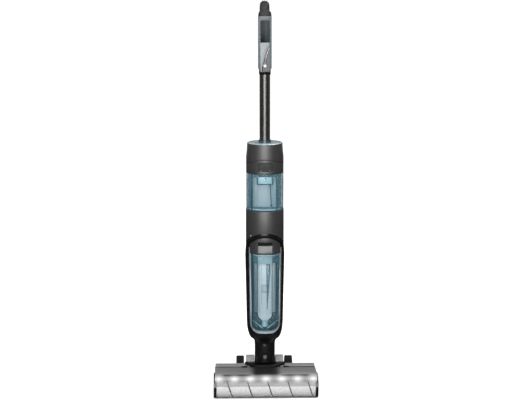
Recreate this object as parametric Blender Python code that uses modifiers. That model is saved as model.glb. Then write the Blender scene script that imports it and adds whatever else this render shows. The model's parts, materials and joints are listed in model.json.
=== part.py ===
"""Upright cordless wet dry floor scrubber, modelled as an assembly of separate pieces.

Metres, +Z up. The machine stands on Z = 0, its front faces -Y, and X runs across the floor head.
"""
import math

import bmesh
import bpy
from mathutils import Matrix, Vector

# ---- driving dimensions -------------------------------------------------------------------------
GAP = 0.0003                      # play between touching pieces
HEIGHT = 1.100                    # floor to the top of the power button
HEAD_HALF_WIDTH = 0.146
BODY_Y = 0.020                    # upright axis of the round body

ROLLER_Y, ROLLER_Z, ROLLER_R = -0.0910, 0.0300, 0.0300
CORE_R, CORE_BORE_R = 0.0237, 0.0215
LENS_COUNT, LENS_STEP = 7, 0.0440
LENS_ANGLE = 55                   # degrees above horizontal, about the roller's axis
COVER_R = 0.0385                  # outside of the smoked cover, about the roller's axis
COVER_WALL = 0.0022
COVER_HALF_WIDTH = 0.1425
WHEEL_Y, WHEEL_R = 0.0944, 0.0340
WHEEL_INNER_X, WHEEL_OUTER_X = 0.0585, 0.0806
AXLE_R = 0.0040
DECK_Z = 0.0640                   # flat top of the floor head
CHASSIS_HALF_WIDTH = 0.1385
CHASSIS_TOP = 0.0450

PIVOT_Y, PIVOT_Z = 0.0460, 0.0600  # tilt hinge of the neck
PIN_R = 0.0050
PLUG_Z, PLUG_R = 0.0905, 0.0055
HUB_R, HUB_HALF = 0.0210, 0.0287
NECK_Y, NECK_R = 0.0240, 0.0287
SWIVEL_Z = 0.1300
DUCT_R = 0.0150

SPLIT_Y = 0.0445                  # tanks in front of this plane, machinery behind it
MID_R = 0.0535
TANK_R = 0.0526
TOP_R = 0.0496
WALL = 0.0022
ARCH_Z, ARCH_R = 0.3852, 0.0675   # arched seam above the dirty tank: circle across the body
WINDOW_ARCH_R = 0.0573
WINDOW_HALF, WINDOW_FOOT_HALF = 0.0458, 0.0430
WINDOW_BOTTOM, WINDOW_CORNER_R = 0.1640, 0.0270
DIRTY_CAP_Z = 0.3935
MID_TOP = 0.5135
CLEAN_CAP_Z = 0.6185
COLLAR_ARCH_R, COLLAR_ARCH_TOP = 0.0950, 0.6590
BODY_TOP = 0.7035

TUBE_R, TUBE_WALL = 0.0148, 0.0014
TUBE_FOOT, TUBE_TOP = 0.6665, 0.9200
HANDLE_Z, HANDLE_TOP = 0.8930, 1.0620   # bottom and top of the handle's front post
POST_HALF = 0.0160
POST_FRONT, POST_BACK = -0.0020, 0.0370
GRIP_R = 0.0132
FASCIA_LOW, FASCIA_HIGH = 0.9015, 0.9835
PANEL_HIGH, BAND_HIGH = 1.0436, 1.0560
BUTTON_Z, BUTTON_R = 0.9190, 0.0066

# outside of the lower body, from its arch down to the swivel: (radius, height)
CRADLE_PROFILE = [(0.0536, 0.4600), (0.0536, 0.4127), (0.0548, 0.3980), (0.0555, 0.3840), (0.0550, 0.3550),
                  (0.0543, 0.3087), (0.0530, 0.2505), (0.0514, 0.1922), (0.0504, 0.1760), (0.0484, 0.1640),
                  (0.0449, 0.1520), (0.0405, 0.1448), (0.0345, 0.1405), (0.0308, 0.1360), (0.0290, 0.1303)]

AXIS_TURN = {"X": Matrix.Rotation(math.radians(90), 4, "Y"),
             "Y": Matrix.Rotation(math.radians(90), 4, "X"),
             "Z": Matrix.Identity(4)}
# outline planes: where local x, y and the thickness go
PLANE_TURN = {"XY": Matrix.Identity(4),
              "XZ": Matrix.Rotation(math.radians(90), 4, "X"),
              "YZ": Matrix.Rotation(math.radians(90), 4, "Z") @ Matrix.Rotation(math.radians(90), 4, "X")}

MATERIALS = {
    "black_plastic": ((0.012, 0.012, 0.013), 0.35, 0.0),
    "body_grey": ((0.085, 0.085, 0.090), 0.38, 0.3),
    "housing_grey": ((0.200, 0.200, 0.205), 0.60, 0.0),
    "smoked_cover": ((0.220, 0.220, 0.230), 0.12, 0.0),
    "blue_tank": ((0.260, 0.420, 0.520), 0.10, 0.0),
    "pale_gloss": ((0.550, 0.650, 0.700), 0.12, 0.0),
    "silver": ((0.600, 0.620, 0.630), 0.28, 0.8),
    "dark_tube": ((0.120, 0.120, 0.120), 0.30, 0.9),
    "steel": ((0.500, 0.500, 0.510), 0.30, 1.0),
    "grip_rubber": ((0.060, 0.060, 0.062), 0.85, 0.0),
    "tyre_rubber": ((0.020, 0.020, 0.021), 0.80, 0.0),
    "microfibre": ((0.620, 0.620, 0.610), 0.95, 0.0),
    "clear_lens": ((0.900, 0.930, 0.960), 0.08, 0.0),
    "panel_black": ((0.010, 0.013, 0.020), 0.06, 0.0),
    "pack_green": ((0.040, 0.160, 0.080), 0.50, 0.0),
}


# ---- scene --------------------------------------------------------------------------------------
def clear_scene():
    """Remove whatever the scene starts with, and make the two collections."""
    for thing in list(bpy.data.objects):
        bpy.data.objects.remove(thing)
    for name in ("floor_scrubber", "cutters"):
        group = bpy.data.collections.new(name)
        bpy.context.scene.collection.children.link(group)


def material(name):
    """Principled material from the table above, made once."""
    if name in bpy.data.materials:
        return bpy.data.materials[name]
    colour, roughness, metallic = MATERIALS[name]
    made = bpy.data.materials.new(name)
    made.use_nodes = True
    shader = made.node_tree.nodes["Principled BSDF"]
    shader.inputs["Base Color"].default_value = (*colour, 1.0)
    shader.inputs["Roughness"].default_value = roughness
    shader.inputs["Metallic"].default_value = metallic
    return made


def new_object(name, mesh):
    """Object in the cutters' collection until finish() makes it a part."""
    thing = bpy.data.objects.new(name, mesh)
    bpy.data.collections["cutters"].objects.link(thing)
    thing.hide_render = True
    thing.display_type = "WIRE"
    return thing


def finish(thing, finish_name, origin=(0.0, 0.0, 0.0)):
    """Turn a body into a named part with a material, its origin at a point such as a joint's axis."""
    bpy.data.collections["cutters"].objects.unlink(thing)
    bpy.data.collections["floor_scrubber"].objects.link(thing)
    thing.hide_render = False
    thing.display_type = "TEXTURED"
    thing.data.transform(Matrix.Translation(-Vector(origin)))
    thing.location = origin
    thing.data.materials.clear()
    thing.data.materials.append(material(finish_name))
    thing.data.shade_smooth()
    thing.data.set_sharp_from_angle(angle=math.radians(35))
    return thing


def baked(thing):
    """Replace an object's modifiers or curve by the closed mesh that they make."""
    depsgraph = bpy.context.evaluated_depsgraph_get()
    mesh = bpy.data.meshes.new_from_object(thing.evaluated_get(depsgraph))
    shape = bmesh.new()
    shape.from_mesh(mesh)
    bmesh.ops.remove_doubles(shape, verts=shape.verts, dist=0.000002)
    bmesh.ops.dissolve_degenerate(shape, dist=0.000002, edges=shape.edges)
    bmesh.ops.recalc_face_normals(shape, faces=shape.faces)
    shape.to_mesh(mesh)
    shape.free()
    mesh.transform(thing.matrix_world)
    name = thing.name
    bpy.data.objects.remove(thing)
    return new_object(name, mesh)


# ---- shapes -------------------------------------------------------------------------------------
def box(name, low, high, bevel=0.0):
    """Box between two corners, with an optional rounded edge."""
    shape = bmesh.new()
    bmesh.ops.create_cube(shape, size=1.0)
    size = Vector(high) - Vector(low)
    middle = (Vector(high) + Vector(low)) / 2
    bmesh.ops.scale(shape, vec=size, verts=shape.verts)
    bmesh.ops.translate(shape, vec=middle, verts=shape.verts)
    mesh = bpy.data.meshes.new(name)
    shape.to_mesh(mesh)
    shape.free()
    thing = new_object(name, mesh)
    if bevel:
        round_edges(thing, bevel)
    return thing


def cylinder(name, axis, centre, radius, length, segments=32, top_radius=None):
    """Cylinder or cone about X, Y or Z."""
    shape = bmesh.new()
    bmesh.ops.create_cone(shape, cap_ends=True, segments=segments, radius1=radius,
                          radius2=radius if top_radius is None else top_radius, depth=length)
    mesh = bpy.data.meshes.new(name)
    shape.to_mesh(mesh)
    shape.free()
    mesh.transform(Matrix.Translation(centre) @ AXIS_TURN[axis])
    return new_object(name, mesh)


def turned(name, profile, steps=44, y=BODY_Y):
    """Solid of revolution about a vertical axis, from (radius, height) points, top to bottom."""
    points = [(0.0, profile[0][1])] + list(profile) + [(0.0, profile[-1][1])]
    mesh = bpy.data.meshes.new(name)
    mesh.from_pydata([(r, 0.0, z) for r, z in points], [(i, i + 1) for i in range(len(points) - 1)], [])
    thing = new_object(name, mesh)
    screw = thing.modifiers.new("turn", "SCREW")
    screw.axis = "Z"
    screw.steps = steps
    screw.render_steps = steps
    screw.use_merge_vertices = True
    screw.merge_threshold = 0.00001
    thing.location.y = y
    bpy.context.view_layer.update()
    return baked(thing)


def outline(name, plane, points, low, high):
    """Flat outline in a plane, extruded between two positions along the plane's normal."""
    curve = bpy.data.curves.new(name, "CURVE")
    curve.dimensions = "2D"
    curve.fill_mode = "BOTH"
    curve.extrude = (high - low) / 2
    spline = curve.splines.new("POLY")
    spline.points.add(len(points) - 1)
    for place, (a, b) in zip(spline.points, points):
        place.co = (a, b, 0.0, 1.0)
    spline.use_cyclic_u = True
    thing = new_object(name, curve)
    normal = {"XY": Vector((0, 0, 1)), "XZ": Vector((0, 1, 0)), "YZ": Vector((1, 0, 0))}[plane]
    thing.matrix_world = Matrix.Translation(normal * (low + high) / 2) @ PLANE_TURN[plane]
    bpy.context.view_layer.update()
    return baked(thing)


def swept(name, points, radius):
    """Round bar along a smooth path."""
    curve = bpy.data.curves.new(name, "CURVE")
    curve.dimensions = "3D"
    curve.bevel_depth = radius
    curve.bevel_resolution = 3
    curve.use_fill_caps = True
    spline = curve.splines.new("POLY")
    spline.points.add(len(points) - 1)
    for place, point in zip(spline.points, points):
        place.co = (*point, 1.0)
    return baked(new_object(name, curve))


def arc(centre, radius, start, end, count):
    """Points of a circular arc in an outline's plane, angles in degrees."""
    turns = [math.radians(start + (end - start) * i / (count - 1)) for i in range(count)]
    return [(centre[0] + radius * math.cos(t), centre[1] + radius * math.sin(t)) for t in turns]


def round_edges(thing, width, segments=2, angle=40):
    """Bevel modifier on the sharp edges."""
    bevel = thing.modifiers.new("rounded", "BEVEL")
    bevel.width = width
    bevel.segments = segments
    bevel.limit_method = "ANGLE"
    bevel.angle_limit = math.radians(angle)
    return thing


def boolean(thing, other, operation):
    """Live Boolean with another body, which stays in the cutters' collection."""
    step = thing.modifiers.new(operation.lower(), "BOOLEAN")
    step.object = other
    step.operation = operation
    return thing


def cut(thing, *cutters):
    """Take every cutter out of a body."""
    for cutter in cutters:
        boolean(thing, cutter, "DIFFERENCE")
    return thing


def join(thing, *others):
    """Fuse other bodies into one."""
    for other in others:
        boolean(thing, other, "UNION")
    return thing


def keep(thing, other):
    """Keep only what lies inside another body."""
    return boolean(thing, other, "INTERSECT")


def renamed(thing, name):
    """Bake a body and give it its part name."""
    made = baked(thing)
    made.name = name
    return made


# ---- shared outlines ----------------------------------------------------------------------------
def window_outline(inset):
    """Outline of the dirty tank's window across the body: round bottom corners and an arched top."""
    half, foot = WINDOW_HALF - inset, WINDOW_FOOT_HALF - inset
    bottom, corner, top = WINDOW_BOTTOM + inset, WINDOW_CORNER_R - inset, WINDOW_ARCH_R - inset
    lean = math.degrees(math.acos(half / top))
    right = arc((foot - corner, bottom + corner), corner, -90, 0, 7)
    crown = arc((0.0, ARCH_Z), top, lean, 180 - lean, 13)
    left = [(-x, z) for x, z in reversed(right)]
    return right + crown + left


def under_arch(centre_z, radius, low):
    """Outline of everything below an arched seam, wider than the body."""
    reach = radius * 0.98
    lean = math.degrees(math.acos(reach / radius))
    return [(-reach, low), (reach, low)] + arc((0.0, centre_z), radius, lean, 180 - lean, 17)


# ---- floor head ---------------------------------------------------------------------------------
def bib_outline(margin):
    """Plan of the black bib in front of the neck: wide at the ears, narrow at its front edge."""
    half = [(0.0310 + margin, -0.0220 - margin), (0.0565 + margin, 0.0125 - margin / 2),
            (0.0565 + margin, 0.0208 + margin)]
    return half + [(-x, y) for x, y in reversed(half)]


def neck_sweep():
    """Space behind the pivot that the neck needs as it tilts back."""
    return box("neck_sweep", (-HUB_HALF - 0.001, -0.0058, PIVOT_Z - HUB_R - 0.0015), (HUB_HALF + 0.001, 0.130, 0.120))


def make_chassis():
    """Sole and open tray of the floor head, with lugs for the axle."""
    tray = box("head_chassis", (-CHASSIS_HALF_WIDTH, -0.0740, 0.0050), (CHASSIS_HALF_WIDTH, 0.0600, CHASSIS_TOP))
    mouth = cylinder("roller_bay", "X", (0, ROLLER_Y, ROLLER_Z), 0.0335, 0.300, 40)
    pocket = box("tray_pocket", (-0.1360, -0.0480, 0.0080), (0.1360, 0.0575, 0.060))
    window = box("duct_window", (-0.0205, -0.0700, 0.0130), (0.0205, -0.0470, 0.0320))
    cut(tray, mouth, pocket, window)
    for side in (-1, 1):
        lug = outline("axle_lug", "YZ", [(0.050, 0.0055), (0.0945, 0.0240), (0.1035, 0.0330), (0.1015, 0.0430),
                                         (0.0885, 0.0448), (0.050, 0.0448)],
                      *sorted((side * 0.0450, side * 0.0575)))
        join(tray, lug)
    axle_hole = cylinder("axle_hole", "X", (0, WHEEL_Y, WHEEL_R), AXLE_R + GAP, 0.200, 24)
    sole_slot = box("sole_slot", (-0.1325, -0.0570, 0.0), (0.1325, -0.0530, 0.0125))
    cut(tray, neck_sweep(), axle_hole, sole_slot)
    finish(renamed(tray, "head_chassis"), "black_plastic")


def make_top_covers():
    """Fixed rear cover of the head, and the black bib round the foot of the neck."""
    profile = [(-0.0080, CHASSIS_TOP + GAP), (-0.0080, DECK_Z), (0.0270, DECK_Z), (0.0600, 0.0500),
               (0.0600, CHASSIS_TOP + GAP)]
    inside = [(-0.0055, 0.040), (-0.0055, DECK_Z - 0.0025), (0.0262, DECK_Z - 0.0025), (0.0572, 0.0484),
              (0.0572, 0.040)]
    cover = outline("rear_top_cover", "YZ", profile, -0.1412, 0.1412)
    hollow = outline("rear_cover_hollow", "YZ", inside, -0.1385, 0.1385)
    ears = box("ear_notch", (-0.0537, 0.0212, 0.040), (0.0537, 0.080, 0.080))
    bib = outline("bib_notch", "XY", bib_outline(0.0008), DECK_Z - 0.0085, 0.080)
    cut(cover, hollow, ears, bib, neck_sweep())
    finish(renamed(cover, "rear_top_cover"), "housing_grey")
    plate = outline("hub_cover", "XY", bib_outline(0.0), DECK_Z - 0.0080, 0.0705)
    cut(plate, neck_sweep())
    finish(round_edges(renamed(plate, "hub_cover"), 0.0015), "black_plastic")


def make_ears():
    """Grey pillars either side of the neck that hold the tilt pin."""
    for side, name in ((-1, "pivot_ear_left"), (1, "pivot_ear_right")):
        top = arc((PIVOT_Y, 0.0620), 0.0216, 25, 155, 9)
        low, high = sorted((side * 0.0301, side * 0.0530))
        ear = outline(name, "YZ", [(0.0220, 0.0458), (0.0715, 0.0458)] + top, low, high)
        round_edges(ear, 0.0020)
        foot = box("ear_foot", (min(side * 0.0320, side * 0.0440), 0.030, 0.0083),
                   (max(side * 0.0320, side * 0.0440), 0.0560, 0.0480))
        bore = cylinder("pin_hole", "X", (0, PIVOT_Y, PIVOT_Z), PIN_R + GAP, 0.1010, 24)
        finish(renamed(cut(join(ear, foot), bore), name), "housing_grey")
    finish(cylinder("tilt_pin", "X", (0, PIVOT_Y, PIVOT_Z), PIN_R, 0.1000, 24), "steel")


def make_wheels():
    """Two plain rear wheels, each a hub with a rubber tyre, on one through axle."""
    finish(cylinder("wheel_axle", "X", (0, WHEEL_Y, WHEEL_R), AXLE_R, 2 * WHEEL_OUTER_X - 0.006, 24), "steel")
    middle, width = (WHEEL_INNER_X + WHEEL_OUTER_X) / 2, WHEEL_OUTER_X - WHEEL_INNER_X
    for side, word in ((-1, "left"), (1, "right")):
        centre = (side * middle, WHEEL_Y, WHEEL_R)
        hub = cylinder("wheel_hub_" + word, "X", centre, 0.0279, width - 0.002, 32)
        dish = cylinder("hub_dish", "X", (side * WHEEL_OUTER_X, WHEEL_Y, WHEEL_R), 0.0210, 0.0100, 32)
        bore = cylinder("hub_bore", "X", centre, AXLE_R + GAP, 0.060, 24)
        boss = cylinder("hub_boss", "X", (side * (WHEEL_OUTER_X - 0.003), WHEEL_Y, WHEEL_R), 0.0075, 0.0060, 24)
        hub = renamed(cut(join(cut(hub, dish), boss), bore), "wheel_hub_" + word)
        finish(hub, "black_plastic", centre)
        tyre = cylinder("tyre_" + word, "X", centre, WHEEL_R, width, 40)
        round_edges(tyre, 0.0020, 1)
        cut(tyre, cylinder("tyre_bore", "X", centre, 0.0283, 0.060, 32))
        finish(renamed(tyre, "tyre_" + word), "tyre_rubber", centre)


def make_end_plates():
    """Black cheeks that close the ends of the roller bay and carry the roller."""
    rim = arc((ROLLER_Y, ROLLER_Z), 0.0340, 85, 235, 13)
    shape = rim + [(-0.0700, 0.0022), (-0.0380, 0.0050), (-0.0380, 0.0440), (-0.0540, 0.0590)]
    for side, word in ((-1, "left"), (1, "right")):
        low, high = sorted((side * 0.1390, side * HEAD_HALF_WIDTH))
        plate = outline("end_plate_" + word, "YZ", shape, low, high)
        round_edges(plate, 0.0015)
        radius, reach = (0.0205, 0.1340) if side < 0 else (0.0060, 0.1310)
        boss = cylinder("roller_boss", "X", (side * (reach + 0.1410) / 2, ROLLER_Y, ROLLER_Z), radius,
                        0.1410 - reach, 32)
        finish(renamed(join(plate, boss), "end_plate_" + word), "black_plastic")


def make_roller():
    """Microfibre roller on a hollow core, driven from a motor inside it."""
    centre = (0, ROLLER_Y, ROLLER_Z)
    sleeve = cylinder("roller_sleeve", "X", centre, ROLLER_R, 0.2760, 48)
    cut(sleeve, cylinder("sleeve_bore", "X", centre, CORE_R + GAP, 0.300, 40))
    finish(renamed(sleeve, "roller_sleeve"), "microfibre", centre)
    core = cylinder("roller_core", "X", centre, CORE_R, 0.2764, 40)
    cut(core, cylinder("core_bore", "X", centre, CORE_BORE_R, 0.300, 40))
    finish(renamed(core, "roller_core"), "black_plastic", centre)
    hub = cylinder("roller_drive_hub", "X", (0.0200, ROLLER_Y, ROLLER_Z), CORE_BORE_R - GAP, 0.0080, 32)
    join(hub, cylinder("hub_stub", "X", (0.0140, ROLLER_Y, ROLLER_Z), 0.0060, 0.0120, 24))
    finish(renamed(hub, "roller_drive_hub"), "steel", centre)
    cap = cylinder("roller_end_cap", "X", (0.1320, ROLLER_Y, ROLLER_Z), CORE_BORE_R - GAP, 0.0120, 32)
    cut(cap, cylinder("cap_bore", "X", (0.1320, ROLLER_Y, ROLLER_Z), 0.0063, 0.040, 24))
    finish(renamed(cap, "roller_end_cap"), "black_plastic", centre)
    finish(cylinder("roller_motor", "X", (-0.0630, ROLLER_Y, ROLLER_Z), 0.0190, 0.1410, 32), "steel")


def cover_section(radius, back, top, foot):
    """Side outline of one face of the roller cover: flat deck, then round over the roller."""
    round_part = arc((ROLLER_Y, ROLLER_Z), radius, 88, 180 - foot, 12)
    return [(back, top)] + round_part


def make_roller_cover():
    """Smoked lift-off cover over the roller, with its two release catches."""
    back, foot = -0.0085, 13.5
    outer = cover_section(COVER_R, back, DECK_Z, foot)
    inner = cover_section(COVER_R - COVER_WALL, back, DECK_Z - COVER_WALL, foot)
    cover = outline("roller_cover", "YZ", outer + inner[::-1], -COVER_HALF_WIDTH, COVER_HALF_WIDTH)
    notch = outline("cover_notch", "XY", bib_outline(0.0008), 0.040, 0.100)
    finish(renamed(cut(cover, notch), "roller_cover"), "smoked_cover")
    for side, word in ((-1, "left"), (1, "right")):
        points = [(side * 0.0500, -0.0130), (side * 0.0520, -0.0240), (side * 0.0690, -0.0240)]
        catch = outline("cover_catch_" + word, "XY", points, 0.0655, 0.0682)
        round_edges(catch, 0.0005, 1)
        finish(renamed(catch, "cover_catch_" + word), "black_plastic")


def make_head_details():
    """Headlight bar, squeegee, spray bar and the duct that carries dirty water to the neck."""
    place = math.radians(LENS_ANGLE)
    forward, up = -math.cos(place), math.sin(place)

    def on_ring(radius, offset=0.0):
        return (ROLLER_Y + radius * forward + offset * up, ROLLER_Z + radius * up - offset * forward)

    strip = [on_ring(0.0320, -0.0040), on_ring(0.0320, 0.0040), on_ring(0.0344, 0.0040), on_ring(0.0344, -0.0040)]
    bar = outline("light_guide", "YZ", strip, -0.1370, 0.1370)
    turn = Matrix.Rotation(math.radians(90 - LENS_ANGLE), 4, "X")
    for index in range(LENS_COUNT):
        lens = cylinder("lens", "Z", (0, 0, 0), 0.0036, 0.0030, 12)
        y, z = on_ring(0.0342)
        lens.data.transform(Matrix.Translation(((index - (LENS_COUNT - 1) / 2) * LENS_STEP, y, z)) @ turn)
        join(bar, lens)
    finish(renamed(bar, "light_guide"), "clear_lens")
    finish(box("squeegee", (-0.1320, -0.0565, 0.0), (0.1320, -0.0535, 0.0120)), "grip_rubber")
    spray = cylinder("spray_bar", "X", (0, -0.0420, 0.0520), 0.0035, 0.2400, 16)
    finish(spray, "black_plastic")
    duct = box("suction_duct", (-0.0240, -0.0470, 0.0086), (0.0240, 0.0180, 0.0360))
    cut(duct, box("duct_bore", (-0.0215, -0.080, 0.0111), (0.0215, 0.060, 0.0335)))
    finish(renamed(duct, "suction_duct"), "black_plastic")


# ---- neck ---------------------------------------------------------------------------------------
def make_neck():
    """Lower neck: a hub on the tilt pin, and a round stem up to the swivel."""
    hub = cylinder("neck_lower", "X", (0, PIVOT_Y, PIVOT_Z), HUB_R, 2 * HUB_HALF, 32)
    stem = cylinder("stem", "Z", (0, NECK_Y, (0.0725 + SWIVEL_Z) / 2), NECK_R, SWIVEL_Z - GAP - 0.0725, 36)
    web = outline("web", "YZ", [(0.0050, 0.0725), (0.0400, 0.0400), (0.0620, 0.0740), (0.0500, 0.0900),
                                (0.0050, 0.0900)], -HUB_HALF + 0.0010, HUB_HALF - 0.0010)
    bore = cylinder("pin_bore", "X", (0, PIVOT_Y, PIVOT_Z), PIN_R + GAP, 0.080, 24)
    duct = cylinder("neck_duct", "Z", (0, NECK_Y, 0.1150), DUCT_R, 0.0600, 28)
    socket = cylinder("plug_hole", "Y", (0, -0.0020, PLUG_Z), PLUG_R + 0.0007, 0.0080, 20)
    cut(join(hub, stem, web), bore, duct, socket)
    finish(renamed(hub, "neck_lower"), "black_plastic", (0, PIVOT_Y, PIVOT_Z))
    plug = cylinder("neck_plug", "Y", (0, -0.0025, PLUG_Z), PLUG_R, 0.0062, 20)
    finish(plug, "silver", (0, PIVOT_Y, PIVOT_Z))


# ---- upright body -------------------------------------------------------------------------------
def half_space_front(limit=SPLIT_Y):
    """Big block that keeps what lies in front of a plane."""
    return box("front_half", (-0.1, -0.1, 0.05), (0.1, limit, 0.80))


def half_space_back(limit=SPLIT_Y + GAP):
    """Big block that keeps what lies behind a plane."""
    return box("back_half", (-0.1, limit, 0.05), (0.1, 0.2, 0.80))


def make_cradle():
    """Black frame round the dirty tank, with the upper half of the neck below it."""
    frame = turned("tank_cradle", CRADLE_PROFILE)
    keep(frame, outline("below_arch", "XZ", under_arch(ARCH_Z, ARCH_R - GAP, 0.10), -0.1, 0.2))
    pocket = outline("tank_pocket", "XZ", window_outline(0.0), -0.1, SPLIT_Y - 0.0040)
    back = box("back_room", (-0.1, SPLIT_Y, 0.1600), (0.1, 0.2, 0.50))
    duct = cylinder("cradle_duct", "Z", (0, NECK_Y, 0.1500), DUCT_R, 0.0600, 28)
    cut(frame, pocket, back, duct)
    finish(renamed(frame, "tank_cradle"), "black_plastic", (0, BODY_Y, SWIVEL_Z))
    line = outline("cradle_trim", "XZ", window_outline(GAP), -0.1, -0.0100)
    cut(line, outline("trim_inside", "XZ", window_outline(0.0021), -0.12, 0.02))
    cut(line, box("trim_top", (-0.1, -0.12, 0.4100), (0.1, 0.02, 0.50)))
    proud = [(r + 0.0006, z) for r, z in CRADLE_PROFILE]
    keep(line, turned("trim_envelope", proud))
    finish(renamed(line, "cradle_trim"), "silver")


def shell_ring(name, outer, inner):
    """Turned wall between two turned solids."""
    return cut(turned(name, outer), turned(name + "_inside", inner))


def make_back_shells():
    """Rear covers over the battery and behind the clean tank, and what they hide."""
    low = [(r, z) for r, z in CRADLE_PROFILE[2:9:2]]
    outer = [(MID_R, 0.4265), (MID_R + 0.0001, 0.4127)] + low + [(0.0482, 0.1630)]
    inner = [(r - WALL, z) for r, z in outer]
    inner[0] = (inner[0][0], 0.4240)
    inner[-1] = (inner[-1][0], 0.1655)
    cover = shell_ring("battery_cover", outer, inner)
    keep(cover, half_space_back())
    finish(renamed(cover, "battery_cover"), "body_grey")
    finish(box("battery_pack", (-0.0300, SPLIT_Y + 0.0010, 0.2000), (0.0300, 0.0575, 0.3500), 0.002), "pack_green")
    finish(box("water_pump", (-0.0180, SPLIT_Y + 0.0010, 0.3620), (0.0180, 0.0640, 0.4000), 0.002), "black_plastic")
    column_out = [(TANK_R, 0.6430), (TANK_R, MID_TOP + GAP)]
    column = turned("rear_column", column_out)
    keep(column, half_space_back())
    hollow = turned("column_inside", [(TANK_R - WALL, 0.660), (TANK_R - WALL, 0.500)])
    cut(column, keep(hollow, half_space_back(SPLIT_Y + 0.0025)))
    finish(renamed(column, "rear_column"), "body_grey")
    board = box("control_board", (-0.0300, 0.0500, 0.5300), (0.0300, 0.0516, 0.6300))
    finish(board, "pack_green")


def make_middle():
    """Grey band with the suction motor inside it."""
    outer = [(MID_R, MID_TOP), (MID_R, 0.4270)]
    shell = turned("middle_housing", outer)
    cut(shell, turned("middle_inside", [(MID_R - WALL, MID_TOP - WALL), (MID_R - WALL, 0.400)]))
    cut(shell, outline("middle_arch", "XZ", under_arch(ARCH_Z, ARCH_R, 0.10), -0.1, SPLIT_Y))
    finish(renamed(shell, "middle_housing"), "body_grey")
    screw = cylinder("housing_screw", "Y", (0, 0, 0), 0.0022, 0.0016, 12)
    turn = math.radians(-48)
    radius = MID_R + 0.0012
    place = Vector((radius * math.sin(turn), BODY_Y - radius * math.cos(turn), 0.4440))
    screw.data.transform(Matrix.Translation(place) @ Matrix.Rotation(turn, 4, "Z"))
    finish(screw, "steel")
    finish(cylinder("suction_motor", "Z", (0, BODY_Y, 0.4715), 0.0360, 0.0300, 32), "steel")
    fan = cylinder("suction_fan", "Z", (0, BODY_Y, 0.4940), 0.0340, 0.0100, 32, 0.0240)
    finish(fan, "silver", (0, BODY_Y, 0.4940))


def make_top():
    """Dark collar above the clean tank, closed by a pale glossy cap round the tube."""
    above = COLLAR_ARCH_TOP - COLLAR_ARCH_R
    profile = [(TOP_R, BODY_TOP - 0.0030), (0.0506, 0.6809), (TANK_R, 0.6640), (TANK_R, 0.6380)]
    collar = turned("top_collar", profile)
    upper_room = turned("collar_upper_room", [(0.0470, 0.7200), (0.0480, 0.6809), (0.0490, 0.6640)])
    lower_room = turned("collar_lower_room", [(TANK_R - 0.0025, 0.6612), (TANK_R - 0.0025, 0.600)])
    cut(collar, upper_room, lower_room)
    cut(collar, outline("collar_arch", "XZ", under_arch(above, COLLAR_ARCH_R, 0.60), -0.1, SPLIT_Y))
    cut(collar, box("collar_back_edge", (-0.1, SPLIT_Y - 0.0010, 0.60), (0.1, 0.2, 0.6434)))
    cut(collar, cylinder("tube_seat", "Z", (0, BODY_Y, 0.670), TUBE_R + GAP, 0.060, 32))
    finish(renamed(collar, "top_collar"), "body_grey")
    cap = turned("top_cap", [(TOP_R - 0.0012, BODY_TOP), (TOP_R, BODY_TOP - 0.0012), (TOP_R, BODY_TOP - 0.0027)])
    skirt = turned("cap_skirt", [(0.0466, BODY_TOP - 0.0020), (0.0466, 0.6950)])
    socket = cylinder("tube_socket", "Z", (0, BODY_Y, 0.6980), TUBE_R + 0.0032, 0.0240, 32)
    cut(join(cap, skirt, socket), cylinder("tube_bore", "Z", (0, BODY_Y, 0.700), TUBE_R + GAP, 0.080, 32))
    finish(renamed(cap, "top_cap"), "pale_gloss")


# ---- tanks --------------------------------------------------------------------------------------
def make_clean_tank():
    """Blue tank that slides out forwards, with its cap, pick-up straw and latch button."""
    front = SPLIT_Y - GAP
    arch = COLLAR_ARCH_R - 0.0006
    above = COLLAR_ARCH_TOP - COLLAR_ARCH_R
    shell = turned("clean_tank_shell", [(TANK_R, CLEAN_CAP_Z), (TANK_R, MID_TOP + 0.0006)])
    keep(shell, half_space_front(front))
    inside = turned("clean_inside", [(TANK_R - 0.0020, 0.640), (TANK_R - 0.0020, MID_TOP + 0.0040)])
    spine = box("rear_recess", (-0.0340, 0.0320, 0.50), (0.0340, 0.080, 0.70))
    wall = box("recess_wall", (-0.0360, 0.0300, 0.49), (0.0360, 0.080, 0.71))
    cut(shell, cut(keep(inside, half_space_front(front - 0.0020)), wall), spine)
    finish(renamed(shell, "clean_tank_shell"), "blue_tank")
    cap = turned("clean_tank_cap", [(TANK_R, 0.6800), (TANK_R, CLEAN_CAP_Z + GAP)])
    keep(cap, half_space_front(front))
    keep(cap, outline("cap_arch", "XZ", under_arch(above, arch, 0.50), -0.1, 0.2))
    latch_bay = box("latch_bay", (-0.0206, -0.060, 0.6272), (0.0206, -0.0180, 0.6510))
    cap_room = turned("cap_room", [(TANK_R - 0.0025, 0.6420), (TANK_R - 0.0025, 0.600)])
    keep(cap_room, box("cap_room_limit", (-0.1, -0.0150, 0.60), (0.1, front - 0.0025, 0.70)))
    cut(cap, latch_bay, cap_room)
    finish(renamed(cap, "clean_tank_cap"), "body_grey")
    latch = turned("clean_tank_latch", [(TANK_R - 0.0014, 0.6504), (TANK_R - 0.0014, 0.6278)])
    keep(latch, box("latch_limit", (-0.0200, -0.060, 0.60), (0.0200, -0.0250, 0.70)))
    finish(renamed(latch, "clean_tank_latch"), "black_plastic")
    valve = box("clean_tank_straw", (-0.0230, -0.0120, 0.5860), (0.0230, 0.0060, CLEAN_CAP_Z - 0.0005), 0.001)
    pipe = cylinder("straw_pipe", "Z", (0.0130, -0.0030, 0.5560), 0.0022, 0.0640, 12)
    finish(renamed(join(valve, pipe), "clean_tank_straw"), "blue_tank")


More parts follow.
